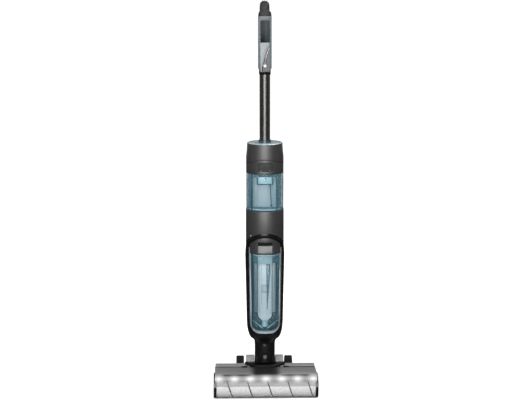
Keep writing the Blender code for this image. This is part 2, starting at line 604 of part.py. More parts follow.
def make_dirty_tank():
    """Blue recovery tank in the cradle, with cap, riser, float and latch pad."""
    front = SPLIT_Y - 0.0045
    envelope = [(r - 0.0006, z) for r, z in CRADLE_PROFILE]
    body = outline("dirty_tank_shell", "XZ", window_outline(0.0026), -0.1, front)
    keep(body, turned("tank_envelope", envelope))
    below = box("below_cap", (-0.1, -0.12, 0.10), (0.1, 0.1, DIRTY_CAP_Z))
    keep(body, below)
    funnel = [(0.0060, 0.1730), (0.0392, 0.2030), (0.0404, 0.2200), (0.0408, 0.4050)]
    room = outline("tank_room", "XZ", funnel + [(-x, z) for x, z in reversed(funnel)], -0.1, front - 0.0022)
    keep(room, turned("tank_lining", [(r - 0.0028, z) for r, z in CRADLE_PROFILE]))
    inlet = cylinder("inlet", "Z", (0, BODY_Y, 0.1700), 0.0055, 0.0500, 20)
    cut(body, room, inlet)
    finish(renamed(body, "dirty_tank_shell"), "blue_tank")
    cap = outline("dirty_tank_cap", "XZ", window_outline(0.0026), -0.1, front)
    keep(cap, turned("cap_envelope", envelope))
    cut(cap, box("under_cap", (-0.1, -0.12, 0.10), (0.1, 0.1, DIRTY_CAP_Z + GAP)))
    cut(cap, box("pad_bay", (-0.0206, -0.060, 0.3962), (0.0206, -0.0180, 0.4262)))
    room = outline("lid_room", "XZ", [(-0.040, 0.380), (0.040, 0.380), (0.040, 0.4150), (-0.040, 0.4150)],
                   -0.0130, front - 0.0022)
    cut(cap, room)
    finish(renamed(cap, "dirty_tank_cap"), "body_grey")
    pad = turned("dirty_tank_latch", [(0.0530, 0.4165), (0.0540, 0.3965)])
    keep(pad, box("pad_limit", (-0.0200, -0.060, 0.39), (0.0200, -0.0250, 0.42)))
    finish(renamed(pad, "dirty_tank_latch"), "housing_grey")
    riser = box("dirty_tank_riser", (-0.0200, 0.0090, 0.2100), (0.0200, 0.0290, 0.3640), 0.003)
    chamber = box("riser_chamber", (-0.0205, -0.0060, 0.3600), (0.0205, 0.0310, 0.3850), 0.002)
    mouth = box("chamber_mouth", (-0.0185, -0.020, 0.3640), (0.0185, 0.0290, 0.3810))
    bore = box("riser_bore", (-0.0180, 0.0110, 0.2050), (0.0180, 0.0270, 0.3700))
    finish(renamed(cut(join(riser, chamber), mouth, bore), "dirty_tank_riser"), "blue_tank")
    finish(cylinder("tank_float", "Z", (0, -0.0080, 0.2900), 0.0110, 0.0220, 20), "clear_lens", (0, -0.008, 0.2790))


# ---- tube and handle ----------------------------------------------------------------------------
def post_section(inset):
    """Front post of the handle seen from the side, leaning back a little at its top."""
    return [(POST_FRONT + 0.0060 + inset, HANDLE_Z + inset), (POST_BACK - 0.0010 - inset, HANDLE_Z + inset),
            (POST_BACK - inset, HANDLE_Z + 0.0250), (POST_BACK - inset, HANDLE_TOP - inset - 0.0080),
            (POST_BACK - 0.0080 - inset, HANDLE_TOP - inset), (POST_FRONT + 0.0090 + inset, HANDLE_TOP - inset),
            (POST_FRONT + inset, HANDLE_TOP - 0.0120 - inset), (POST_FRONT + inset, HANDLE_Z + 0.0200)]


def make_handle():
    """Aluminium tube, front post with its panels, and the rubber grip that closes the loop."""
    middle = (TUBE_FOOT + TUBE_TOP) / 2
    tube = cylinder("tube", "Z", (0, BODY_Y, middle), TUBE_R, TUBE_TOP - TUBE_FOOT, 32)
    cut(tube, cylinder("tube_inside", "Z", (0, BODY_Y, middle), TUBE_R - TUBE_WALL, 0.40, 32))
    finish(renamed(tube, "tube"), "dark_tube")
    post = outline("handle_post", "YZ", post_section(0.0), -POST_HALF, POST_HALF)
    round_edges(post, 0.0030)
    post = baked(post)
    recess = box("panel_recess", (-0.0150, -0.02, FASCIA_LOW - 0.0005), (0.0150, POST_FRONT + 0.0030, 1.0565))
    seat = cylinder("post_seat", "Z", (0, BODY_Y, HANDLE_Z), TUBE_R + GAP, 2 * (TUBE_TOP + 0.0005 - HANDLE_Z), 32)
    cut(post, recess, seat)
    finish(renamed(post, "handle_post"), "black_plastic")
    front = POST_FRONT + 0.0002
    for name, low, high, finish_name in (("handle_fascia", FASCIA_LOW, FASCIA_HIGH, "silver"),
                                         ("handle_panel", FASCIA_HIGH + 0.0005, PANEL_HIGH, "panel_black"),
                                         ("handle_band", PANEL_HIGH + 0.0005, BAND_HIGH, "silver")):
        plate = box(name, (-0.0147, front - 0.0008, low), (0.0147, front + 0.0024, high))
        if name == "handle_fascia":
            cut(plate, cylinder("button_hole", "Y", (0, front, BUTTON_Z), BUTTON_R + 0.0005, 0.02, 24))
        finish(renamed(round_edges(plate, 0.0004, 1), name), finish_name)
    button = cylinder("clean_button", "Y", (0, front - 0.0001, BUTTON_Z), BUTTON_R, 0.0030, 24)
    finish(button, "silver", (0, front, BUTTON_Z))
    for side, word in ((-1, "left"), (1, "right")):
        rail = outline("side_rail_" + word, "YZ", [(0.0040, 0.9080), (0.0270, 0.9080), (0.0270, 1.0560),
                                                  (0.0080, 1.0560), (0.0040, 1.0480)],
                       *sorted((side * (POST_HALF + GAP), side * 0.0185)))
        finish(renamed(round_edges(rail, 0.0008, 1), "side_rail_" + word), "pale_gloss")
    path = [(0.0160, 1.0560), (0.0180, 1.0700), (0.0250, 1.0790), (0.0370, 1.0838), (0.0500, 1.0843)]
    path += [(0.0640, 1.0810), (0.0750, 1.0735), (0.0820, 1.0620), (0.0855, 1.0480), (0.0860, 1.0200),
             (0.0850, 0.9900), (0.0820, 0.9640), (0.0750, 0.9440), (0.0640, 0.9310), (0.0500, 0.9250),
             (0.0350, 0.9240)]
    grip = swept("handle_grip", [(0, y, z) for y, z in path], GRIP_R)
    cut(grip, outline("post_clear", "YZ", post_section(-GAP), -0.030, 0.030))
    cut(grip, box("button_bed", (-0.0076, 0.0290, 1.0935), (0.0076, 0.0600, 1.12)))
    finish(renamed(grip, "handle_grip"), "grip_rubber")
    key = box("power_button", (-0.0070, 0.0296, 1.0955), (0.0070, 0.0594, HEIGHT), 0.0015)
    finish(renamed(key, "power_button"), "silver", (0, 0.0445, 1.0955))


def main():
    """Build every part."""
    clear_scene()
    make_chassis()
    make_top_covers()
    make_ears()
    make_wheels()
    make_end_plates()
    make_roller()
    make_roller_cover()
    make_head_details()
    make_neck()
    make_cradle()
    make_back_shells()
    make_middle()
    make_top()
    make_clean_tank()
    make_dirty_tank()
    make_handle()


main()
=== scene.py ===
"""Upright wet dry floor scrubber: the visible pieces, built around the fixed frame of the machine.

The file is laid out as an add-on. Run as a script it registers its classes, builds every piece
through its operators, and leaves the finished scene. Metres, +Z up, the front faces -Y.
"""
import json
import math

import bpy
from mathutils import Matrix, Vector

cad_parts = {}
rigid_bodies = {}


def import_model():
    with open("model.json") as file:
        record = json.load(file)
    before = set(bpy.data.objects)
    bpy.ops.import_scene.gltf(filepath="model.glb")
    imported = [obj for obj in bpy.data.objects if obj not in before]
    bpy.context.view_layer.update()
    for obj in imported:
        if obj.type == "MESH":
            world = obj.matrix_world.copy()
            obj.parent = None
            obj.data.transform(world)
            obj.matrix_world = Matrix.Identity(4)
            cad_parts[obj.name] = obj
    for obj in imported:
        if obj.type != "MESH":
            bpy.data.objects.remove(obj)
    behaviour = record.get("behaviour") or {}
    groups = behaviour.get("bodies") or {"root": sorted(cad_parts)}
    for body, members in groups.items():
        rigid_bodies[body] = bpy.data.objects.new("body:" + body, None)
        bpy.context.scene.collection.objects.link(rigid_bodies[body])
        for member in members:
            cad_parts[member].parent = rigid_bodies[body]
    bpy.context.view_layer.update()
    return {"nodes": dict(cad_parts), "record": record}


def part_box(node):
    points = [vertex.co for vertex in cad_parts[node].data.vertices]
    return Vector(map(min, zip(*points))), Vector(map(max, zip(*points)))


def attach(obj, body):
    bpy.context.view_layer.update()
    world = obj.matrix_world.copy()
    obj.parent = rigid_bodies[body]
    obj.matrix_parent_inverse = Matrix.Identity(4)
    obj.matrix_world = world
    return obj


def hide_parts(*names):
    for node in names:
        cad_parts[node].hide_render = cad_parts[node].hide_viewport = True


bl_info = {
    "name": "Floor scrubber builder",
    "version": (1, 0, 0),
    "blender": (4, 5, 0),
    "location": "3D View > Sidebar > Scrubber",
    "description": "Builds an upright wet dry floor scrubber piece by piece",
    "category": "Add Mesh",
}

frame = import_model()
BOX = {node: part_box(node) for node in frame["nodes"]}
BODY_OF = {node: body for body, nodes in frame["record"]["behaviour"]["bodies"].items() for node in nodes}


def low(node):
    """Lowest corner of a frame node."""
    return BOX[node][0]


def high(node):
    """Highest corner of a frame node."""
    return BOX[node][1]


def middle(node):
    """Centre of a frame node's box."""
    return (low(node) + high(node)) / 2


BODY_AXIS = middle("top_cap")                 # the round body's upright axis passes here
BODY_Y = BODY_AXIS.y
ROLLER = middle("roller_sleeve")
ROLLER_RADIUS = (high("roller_sleeve").z - low("roller_sleeve").z) / 2
ROLLER_HALF = high("roller_sleeve").x


# ---- sizes and colours that a user would change -------------------------------------------------
def length(name, description, default):
    """Length property in metres."""
    return bpy.props.FloatProperty(name=name, description=description, default=default, min=0.0,
                                   unit="LENGTH", precision=4)


def colour(name, description, default):
    """Colour property, linear."""
    return bpy.props.FloatVectorProperty(name=name, description=description, default=default, size=3,
                                         subtype="COLOR", min=0.0, max=1.0)


def window_outline(inset):
    """Outline of the dirty tank's window: round bottom corners and an arched top."""
    near, far = BOX["cradle_trim"]
    half, foot = far.x + 0.0004 - inset, far.x - 0.0024 - inset
    bottom, corner, top = near.z - 0.0003 + inset, 0.0270 - inset, 0.0573 - inset
    lean = math.degrees(math.acos(half / top))
    right = ring_outline((foot - corner, bottom + corner), corner, -90, 0, 13)
    crown = ring_outline((0.0, high("dirty_tank_cap").z - 0.0547), top, lean, 180 - lean, 25)
    return right + crown + [(-x, z) for x, z in reversed(right)]


class ScrubberSizes(bpy.types.PropertyGroup):
    """Small sizes of the finished surfaces."""
    edge: length("Moulding edge", "Rounding of moulded edges", 0.0005)
    groove_depth: length("Groove depth", "Depth of the roller's spiral grooves", 0.0020)
    groove_half: length("Groove half width", "Half the width of a spiral groove", 0.0021)
    groove_pitch: length("Groove pitch", "Distance between the grooves along the roller", 0.0562)
    pile: length("Pile", "Unevenness of the roller's pile", 0.0003)
    trim_proud: length("Trim", "How far the sweep on the front plate stands up", 0.0008)
    lens_radius: length("Lens radius", "Radius of a headlight lens", 0.0032)
    tread_depth: length("Tread", "Depth of the grooves in the tyres", 0.0007)
    straw_radius: length("Straw radius", "Outside radius of the pick-up straw", 0.0014)
    round_steps: bpy.props.IntProperty(name="Round steps", description="Steps around a turned piece",
                                       default=96, min=24, max=192)
    lamps: bpy.props.IntProperty(name="Lamps", description="Headlight lenses", default=7, min=1, max=12)


class ScrubberColours(bpy.types.PropertyGroup):
    """Base colours of the finishes."""
    black: colour("Black plastic", "Satin black mouldings", (0.0058, 0.0058, 0.0062))
    body: colour("Body grey", "Metallic dark grey of the round body", (0.098, 0.096, 0.098))
    housing: colour("Housing grey", "Matt grey of the head's ears and rear cover", (0.270, 0.270, 0.273))
    smoke: colour("Smoked cover", "Tint of the roller cover", (0.270, 0.270, 0.275))
    tank: colour("Tank blue", "Tint of the water tanks", (0.205, 0.465, 0.590))
    inner: colour("Inner plastic", "Pale mouldings inside the tanks", (0.450, 0.535, 0.570))
    gloss: colour("Pale gloss", "Pale blue-white cap on top of the body", (0.700, 0.790, 0.830))
    silver: colour("Silver", "Silver trim and front plate", (0.245, 0.262, 0.272))
    tube: colour("Tube", "Dark anodised tube", (0.115, 0.112, 0.110))
    steel: colour("Steel", "Bare steel", (0.500, 0.500, 0.510))
    grip: colour("Grip rubber", "Rubber of the grip and its shoulder", (0.036, 0.036, 0.038))
    tyre: colour("Tyre rubber", "Rubber of the wheels", (0.0070, 0.0070, 0.0074))
    pile: colour("Microfibre", "Pile of the roller", (0.880, 0.880, 0.870))
    pack: colour("Green board", "Battery wrap and circuit board", (0.040, 0.160, 0.080))
    floor: colour("Floor", "Pale floor", (0.900, 0.900, 0.900))


# ---- selecting and shaping ----------------------------------------------------------------------
def deselect_all():
    """Leave edit mode and select nothing."""
    if bpy.context.mode != "OBJECT":
        bpy.ops.object.mode_set(mode="OBJECT")
    bpy.ops.object.select_all(action="DESELECT")


def activate(thing):
    """Select one object only and make it active."""
    deselect_all()
    thing.select_set(True)
    bpy.context.view_layer.objects.active = thing
    return thing


def edit(thing, mode="VERT"):
    """Open one object in edit mode with nothing selected."""
    activate(thing)
    bpy.ops.object.mode_set(mode="EDIT")
    bpy.ops.mesh.select_mode(type=mode)
    bpy.ops.mesh.select_all(action="DESELECT")


def leave():
    """Go back to object mode."""
    bpy.ops.object.mode_set(mode="OBJECT")


def pick(thing, test, mode="FACE"):
    """Open a mesh and select the vertices or faces whose centre passes a test."""
    activate(thing)
    bpy.ops.object.mode_set(mode="EDIT")
    bpy.ops.mesh.select_mode(type=mode)
    bpy.ops.mesh.select_all(action="DESELECT")
    leave()
    items = thing.data.polygons if mode == "FACE" else thing.data.vertices
    found = 0
    for item in items:
        centre = item.center if mode == "FACE" else item.co
        item.select = bool(test(centre, item.normal))
        found += item.select
    bpy.ops.object.mode_set(mode="EDIT")
    if not found:
        raise RuntimeError(f"nothing to select on {thing.name}")
    return found


def adopt(name):
    """Name the object that an operator has just added."""
    thing = bpy.context.object
    thing.name = name
    thing.data.name = name
    return thing


def settle(thing):
    """Put the object's place into its mesh."""
    activate(thing)
    bpy.ops.object.transform_apply(location=True, rotation=True, scale=True)
    return thing


def tidy_mesh(thing, distance=0.000004):
    """Merge doubles and turn every face outwards."""
    edit(thing)
    bpy.ops.mesh.select_all(action="SELECT")
    bpy.ops.mesh.remove_doubles(threshold=distance)
    bpy.ops.mesh.normals_make_consistent(inside=False)
    leave()
    return thing


def apply_modifier(thing, kind, **settings):
    """Add one modifier, set it and apply it."""
    activate(thing)
    bpy.ops.object.modifier_add(type=kind)
    step = thing.modifiers[-1]
    for key, value in settings.items():
        setattr(step, key, value)
    bpy.ops.object.modifier_apply(modifier=step.name)
    return thing


def combine(thing, operation, *others):
    """Boolean with other bodies, which are used up."""
    for other in others:
        apply_modifier(thing, "BOOLEAN", operation=operation, object=other, solver="EXACT")
        bpy.data.objects.remove(other)
    return thing


def cut(thing, *others):
    """Take other bodies out of one."""
    return combine(thing, "DIFFERENCE", *others)


def fuse(thing, *others):
    """Join other bodies to one."""
    return combine(thing, "UNION", *others)


def keep(thing, other):
    """Keep what lies inside another body."""
    return combine(thing, "INTERSECT", other)


def soften(thing, width, segments=2, angle=32.0):
    """Round the sharp edges."""
    return apply_modifier(thing, "BEVEL", width=width, segments=segments, limit_method="ANGLE",
                          angle_limit=math.radians(angle), use_clamp_overlap=True, harden_normals=False)


def smooth(thing, angle=32.0):
    """Smooth shading, with edges above an angle left crisp."""
    activate(thing)
    bpy.ops.object.shade_smooth_by_angle(angle=math.radians(angle))
    return thing


def draw(name, points, face=True):
    """Line through points, drawn by extruding one vertex, and filled when it is an outline."""
    deselect_all()
    bpy.ops.mesh.primitive_plane_add(size=0.001, location=points[0])
    thing = adopt(name)
    bpy.ops.object.mode_set(mode="EDIT")
    bpy.ops.mesh.select_mode(type="VERT")
    bpy.ops.mesh.merge(type="CENTER")
    for before, after in zip(points, points[1:]):
        step = Vector(after) - Vector(before)
        bpy.ops.mesh.extrude_vertices_move(TRANSFORM_OT_translate={"value": step})
    if face:
        bpy.ops.mesh.select_all(action="SELECT")
        bpy.ops.mesh.edge_face_add()
    leave()
    return settle(thing)


def plate(name, plane, outline, start, end):
    """Outline in the XY, XZ or YZ plane, extruded between two places along the plane's normal."""
    def lift(a, b):
        return {"XY": (a, b, start), "XZ": (a, start, b), "YZ": (start, a, b)}[plane]

    thing = draw(name, [lift(a, b) for a, b in outline])
    depth = end - start
    step = {"XY": (0, 0, depth), "XZ": (0, depth, 0), "YZ": (depth, 0, 0)}[plane]
    edit(thing)
    bpy.ops.mesh.select_all(action="SELECT")
    bpy.ops.mesh.extrude_region_move(TRANSFORM_OT_translate={"value": step})
    leave()
    return tidy_mesh(thing)


def turned(name, profile, steps, axis="Z", centre=(0.0, BODY_Y, 0.0), closed=True):
    """Solid of revolution from (radius, place along the axis) points, by spinning the drawn line.

    The line starts and ends on the axis when it is closed there, or is itself a closed ring.
    """
    centre = Vector(centre)
    points = [(0.0, profile[0][1])] + list(profile) + [(0.0, profile[-1][1])] if closed else list(profile)
    if axis == "Z":
        placed = [centre + Vector((r, 0.0, z)) for r, z in points]
    elif axis == "X":
        placed = [centre + Vector((z, 0.0, r)) for r, z in points]
    else:
        placed = [centre + Vector((r, z, 0.0)) for r, z in points]
    if not closed:
        placed.append(placed[0])
    thing = draw(name, placed, face=False)
    edit(thing)
    bpy.ops.mesh.select_all(action="SELECT")
    bpy.ops.mesh.spin(steps=steps, angle=math.tau, center=centre,
                      axis={"X": (1, 0, 0), "Y": (0, 1, 0), "Z": (0, 0, 1)}[axis])
    leave()
    return tidy_mesh(thing, 0.000008)


def block(name, near, far, edge=0.0, segments=2):
    """Box between two corners, made from a cube and rounded."""
    near, far = Vector(near), Vector(far)
    deselect_all()
    bpy.ops.mesh.primitive_cube_add(size=1.0, location=(near + far) / 2, scale=far - near)
    thing = settle(adopt(name))
    return soften(thing, edge, segments) if edge else thing


def rod(name, start, end, radius, vertices=32, edge=0.0):
    """Round bar between two points."""
    start, end = Vector(start), Vector(end)
    aim = (end - start).to_track_quat("Z", "Y").to_euler()
    deselect_all()
    bpy.ops.mesh.primitive_cylinder_add(vertices=vertices, radius=radius, depth=(end - start).length,
                                        location=(start + end) / 2, rotation=aim)
    thing = settle(adopt(name))
    return soften(thing, edge) if edge else thing


def ring_outline(centre, radius, start, end, count):
    """Points of an arc, angles in degrees."""
    turns = [math.radians(start + (end - start) * i / (count - 1)) for i in range(count)]
    return [(centre[0] + radius * math.cos(t), centre[1] + radius * math.sin(t)) for t in turns]


def curve_points(points, each=6):
    """More points on a smooth curve through the given ones."""
    padded = [points[0]] + list(points) + [points[-1]]
    made = []
    for index in range(1, len(padded) - 2):
        a, b, c, d = (Vector(p) for p in padded[index - 1:index + 3])
        for step in range(each):
            t = step / each
            made.append(tuple(0.5 * (2 * b + (c - a) * t + (2 * a - 5 * b + 4 * c - d) * t * t
                                     + (3 * b - a - 3 * c + d) * t ** 3)))
    return made + [tuple(points[-1])]


def rounded_outline(half_x, half_y, corner, centre=(0.0, 0.0), count=7):
    """Rectangle with round corners, as an outline."""
    points = []
    for sx, sy, start in ((1, 1, 0), (-1, 1, 90), (-1, -1, 180), (1, -1, 270)):
        place = (centre[0] + sx * (half_x - corner), centre[1] + sy * (half_y - corner))
        points += ring_outline(place, corner, start, start + 90, count)
    return points


def copy_of(thing, name, shift=(0.0, 0.0, 0.0)):
    """Copy with its own mesh, moved in its mesh."""
    activate(thing)
    bpy.ops.object.duplicate(linked=False)
    made = adopt(name)
    made.location = made.location + Vector(shift)
    return settle(made)


def join_pieces(first, *others):
    """Put several bodies into one object."""
    deselect_all()
    for other in others:
        other.select_set(True)
    first.select_set(True)
    bpy.context.view_layer.objects.active = first
    bpy.ops.object.join()
    return first


def refined(node, name=None, edge=None, segments=2, flat=0.6):
    """Copy of a frame node with its doubles merged, flat facets joined and edges rounded."""
    mesh = frame["nodes"][node].data.copy()
    mesh.materials.clear()
    thing = bpy.data.objects.new(name or node + "_skin", mesh)
    bpy.context.scene.collection.objects.link(thing)
    thing.data.name = thing.name
    activate(thing)
    if mesh.has_custom_normals:
        bpy.ops.mesh.customdata_custom_splitnormals_clear()
    edit(thing)
    bpy.ops.mesh.select_all(action="SELECT")
    bpy.ops.mesh.remove_doubles(threshold=0.000004)
    bpy.ops.mesh.dissolve_limited(angle_limit=math.radians(flat), use_dissolve_boundaries=False)
    bpy.ops.mesh.normals_make_consistent(inside=False)
    leave()
    edge = bpy.context.scene.scrubber_sizes.edge if edge is None else edge
    return soften(thing, edge, segments) if edge else thing


def dress(thing, node, finish, instead=True, body=None, angle=32.0):
    """Give a piece its finish, its body and its slot, and let it stand for a frame node."""
    smooth(thing, angle)
    thing.data.materials.clear()
    for each in (finish if isinstance(finish, (list, tuple)) else [finish]):
        thing.data.materials.append(each)
    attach(thing, body or BODY_OF[node])
    if instead:
        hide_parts(node)
    return thing


# ---- finishes -----------------------------------------------------------------------------------
def begin(name):
    """New node material: its tree, its shader and the Object coordinates."""
    made = bpy.data.materials.new(name)
    made.use_nodes = True
    tree = made.node_tree
    shader = next(node for node in tree.nodes if node.type == "BSDF_PRINCIPLED")
    place = tree.nodes.new("ShaderNodeTexCoord")
    return made, tree, shader, place.outputs["Object"]


def scaled(tree, vector, scale, shift=(0.0, 0.0, 0.0)):
    """Coordinates stretched and shifted."""
    node = tree.nodes.new("ShaderNodeMapping")
    node.inputs["Scale"].default_value = scale
    node.inputs["Location"].default_value = shift
    tree.links.new(vector, node.inputs["Vector"])
    return node.outputs["Vector"]


def noise(tree, vector, scale, detail=3.0, roughness=0.5):
    """Noise value over the surface."""
    node = tree.nodes.new("ShaderNodeTexNoise")
    node.inputs["Scale"].default_value = scale
    node.inputs["Detail"].default_value = detail
    node.inputs["Roughness"].default_value = roughness
    tree.links.new(vector, node.inputs["Vector"])
    return node.outputs["Fac"]


def cells(tree, vector, scale, randomness=1.0, feature="F1"):
    """Distance to the nearest cell centre."""
    node = tree.nodes.new("ShaderNodeTexVoronoi")
    node.feature = feature
    node.inputs["Scale"].default_value = scale
    node.inputs["Randomness"].default_value = randomness
    tree.links.new(vector, node.inputs["Vector"])
    return node.outputs["Distance"]


def spread(tree, value, from_low, from_high, to_low, to_high, smooth_step=False):
    """Map a value from one range to another, held at its ends."""
    node = tree.nodes.new("ShaderNodeMapRange")
    node.interpolation_type = "SMOOTHSTEP" if smooth_step else "LINEAR"
    for socket, number in (("From Min", from_low), ("From Max", from_high),
                           ("To Min", to_low), ("To Max", to_high)):
        node.inputs[socket].default_value = number
    tree.links.new(value, node.inputs["Value"])
    return node.outputs["Result"]


def calc(tree, operation, first, second=None):
    """Math node on sockets or numbers."""
    node = tree.nodes.new("ShaderNodeMath")
    node.operation = operation
    for index, item in enumerate((first, second)):
        if item is None:
            continue
        if isinstance(item, (int, float)):
            node.inputs[index].default_value = item
        else:
            tree.links.new(item, node.inputs[index])
    return node.outputs[0]


def product(tree, *items):
    """Several values multiplied together, in order."""
    total = items[0]
    for item in items[1:]:
        total = calc(tree, "MULTIPLY", total, item)
    return total


def bell(tree, value, sharpness):
    """e to the power of a value times a sharpness."""
    return calc(tree, "POWER", math.e, calc(tree, "MULTIPLY", value, sharpness))


def blend_colours(tree, factor, first, second):
    """Mix two colours, given as triples or sockets."""
    node = tree.nodes.new("ShaderNodeMix")
    node.data_type = "RGBA"
    tree.links.new(factor, node.inputs["Factor"])
    for socket, item in ((node.inputs[6], first), (node.inputs[7], second)):
        if isinstance(item, bpy.types.NodeSocket):
            tree.links.new(item, socket)
        else:
            socket.default_value = (*item, 1.0)
    return node.outputs[2]


def bumped(tree, shader, height, strength, distance):
    """Bump from a height value."""
    node = tree.nodes.new("ShaderNodeBump")
    node.inputs["Strength"].default_value = strength
    node.inputs["Distance"].default_value = distance
    tree.links.new(height, node.inputs["Height"])
    tree.links.new(node.outputs["Normal"], shader.inputs["Normal"])


def shade(tint, factor):
    """Lighter or darker colour."""
    return tuple(min(1.0, channel * factor) for channel in tint)


def axes(tree, vector):
    """The three coordinates on their own."""
    node = tree.nodes.new("ShaderNodeSeparateXYZ")
    tree.links.new(vector, node.inputs[0])
    return node.outputs[0], node.outputs[1], node.outputs[2]


def moulded(name, tint, roughness, metallic=0.0, coat=0.0, grain=5200.0, depth=0.00003, mottle=0.12,
            rough_swing=0.06, **sockets):
    """Moulded plastic or metal: fine grain in the surface, slow colour change, uneven gloss."""
    made, tree, shader, place = begin(name)
    slow = noise(tree, place, 38.0, 4.0)
    fine = noise(tree, place, grain, 2.0, 0.6)
    tree.links.new(blend_colours(tree, slow, shade(tint, 1 - mottle), shade(tint, 1 + mottle)),
                   shader.inputs["Base Color"])
    worn = noise(tree, place, 160.0, 5.0, 0.65)
    tree.links.new(spread(tree, worn, 0.3, 0.7, roughness - rough_swing, roughness + rough_swing),
                   shader.inputs["Roughness"])
    shader.inputs["Metallic"].default_value = metallic
    shader.inputs["Coat Weight"].default_value = coat
    for socket, number in sockets.items():
        shader.inputs[socket.replace("_", " ")].default_value = number
    bumped(tree, shader, fine, 0.35, depth)
    return made


def brushed(name, tint, roughness, direction, metallic=0.85):
    """Brushed metal: fine scratches along one direction."""
    made, tree, shader, place = begin(name)
    scale = {"X": (30.0, 2600.0, 2600.0), "Z": (2600.0, 2600.0, 30.0)}[direction]
    lines = noise(tree, scaled(tree, place, scale), 1.0, 3.0, 0.7)
    slow = noise(tree, place, 55.0, 3.0)
    tone = blend_colours(tree, lines, shade(tint, 0.86), shade(tint, 1.12))
    tree.links.new(blend_colours(tree, spread(tree, slow, 0.3, 0.7, 0.0, 0.25), tone, shade(tint, 0.8)),
                   shader.inputs["Base Color"])
    tree.links.new(spread(tree, lines, 0.2, 0.8, roughness - 0.06, roughness + 0.08), shader.inputs["Roughness"])
    shader.inputs["Metallic"].default_value = metallic
    bumped(tree, shader, lines, 0.25, 0.00002)
    return made


def clear_blue(name, tint, opacity, edge_opacity, roughness=0.08, bands=()):
    """Clear tinted plastic: see-through face on, deeper and more opaque at a slant, with upright bands of painted
    shade.
    """
    made, tree, shader, place = begin(name)
    facing = tree.nodes.new("ShaderNodeLayerWeight")
    facing.inputs["Blend"].default_value = 0.35
    slow = noise(tree, place, 24.0, 3.0)
    flow = noise(tree, scaled(tree, place, (60.0, 60.0, 9.0)), 1.0, 3.0)
    tint_now = blend_colours(tree, slow, shade(tint, 0.90), shade(tint, 1.10))
    tone = blend_colours(tree, facing.outputs["Facing"], tint_now, shade(tint, 0.45))
    solid = spread(tree, facing.outputs["Facing"], 0.0, 0.9, opacity, edge_opacity)
    varied = calc(tree, "MULTIPLY", solid, spread(tree, flow, 0.25, 0.75, 0.92, 1.08))
    x, y, _ = axes(tree, place)
    for middle_x, half, depth in bands:
        off = calc(tree, "MULTIPLY", calc(tree, "SUBTRACT", x, middle_x), 1.0 / half)
        # painted shade: each band darkens the wall's colour and makes it more opaque
        band_shade_mask = product(tree, bell(tree, product(tree, off, off), -1.0), depth,
                       spread(tree, y, -0.012, 0.004, 1.0, 0.0, True))
        tone = blend_colours(tree, band_shade_mask, tone, shade(tint, 0.03))
        varied = calc(tree, "MAXIMUM", varied, band_shade_mask)
    tree.links.new(tone, shader.inputs["Base Color"])
    tree.links.new(varied, shader.inputs["Alpha"])
    tree.links.new(spread(tree, slow, 0.3, 0.7, roughness - 0.03, roughness + 0.05), shader.inputs["Roughness"])
    shader.inputs["IOR"].default_value = 1.5
    bumped(tree, shader, flow, 0.10, 0.0002)
    return made


# upright bands of painted shade in the tank walls: place across the tank, half width, depth of the shade
CLEAN_PAINTED_SHADE_BANDS = ((-0.0372, 0.0024, 0.85), (-0.0300, 0.0010, 0.35), (0.0312, 0.0020, 0.60),
               (0.0370, 0.0010, 0.30))
DIRTY_PAINTED_SHADE_BANDS = ((-0.0362, 0.0030, 0.75), (-0.0215, 0.0010, 0.35), (0.0295, 0.0022, 0.45),
               (0.0200, 0.0010, 0.30))


def smoked(name, tint, lamp_places, glow_height, glow_y):
    """Smoked clear plastic with a painted glow from a row of lamps, painted shade over its middle and a darker painted
    band behind the lamps.
    """
    made, tree, shader, place = begin(name)
    x, y, z = axes(tree, place)
    slow = noise(tree, place, 30.0, 3.0)
    tone = blend_colours(tree, slow, shade(tint, 0.95), shade(tint, 1.05))
    # painted shade: the middle of the cover is darkened where it sits over the dark foot of the neck
    aside = calc(tree, "ABSOLUTE", x)
    centre = calc(tree, "MULTIPLY", spread(tree, aside, 0.026, 0.050, 1.0, 0.0, True),
                  spread(tree, y, -0.113, -0.100, 0.0, 0.97, True))
    # and the colour is painted darker in a band behind the lamps on each side
    behind = bell(tree, calc(tree, "POWER", calc(tree, "SUBTRACT", y, glow_y + 0.0125), 2.0), -60000.0)
    span = calc(tree, "MULTIPLY", spread(tree, aside, 0.036, 0.046, 0.0, 1.0, True),
                spread(tree, aside, 0.112, 0.128, 1.0, 0.0, True))
    dark = calc(tree, "MAXIMUM", centre, product(tree, behind, span, 0.92))
    tone = blend_colours(tree, dark, tone, shade(tint, 0.07))
    tree.links.new(tone, shader.inputs["Base Color"])
    solid = spread(tree, z, 0.044, 0.0655, 0.22, 0.93, True)
    tree.links.new(solid, shader.inputs["Alpha"])
    shader.inputs["Specular IOR Level"].default_value = 0.12
    tree.links.new(spread(tree, slow, 0.3, 0.7, 0.36, 0.44), shader.inputs["Roughness"])
    # painted lamp glow: the cover itself emits a bright spot at each lamp, and a weaker band of light between them
    total = None
    rise = calc(tree, "SUBTRACT", z, glow_height)
    rise = calc(tree, "MULTIPLY", rise, rise)
    for lamp in lamp_places:
        off = calc(tree, "SUBTRACT", x, lamp)
        spot = bell(tree, calc(tree, "ADD", product(tree, off, off, 0.45), rise), -15000.0)
        total = spot if total is None else calc(tree, "ADD", total, spot)
    band = product(tree, bell(tree, rise, -90000.0), 0.12)
    total = calc(tree, "ADD", total, band)
    front = spread(tree, y, glow_y, glow_y + 0.02, 1.0, 0.0)
    tree.links.new(product(tree, total, front, 0.70), shader.inputs["Emission Strength"])
    shader.inputs["Emission Color"].default_value = (1.0, 1.0, 1.0, 1.0)
    return made


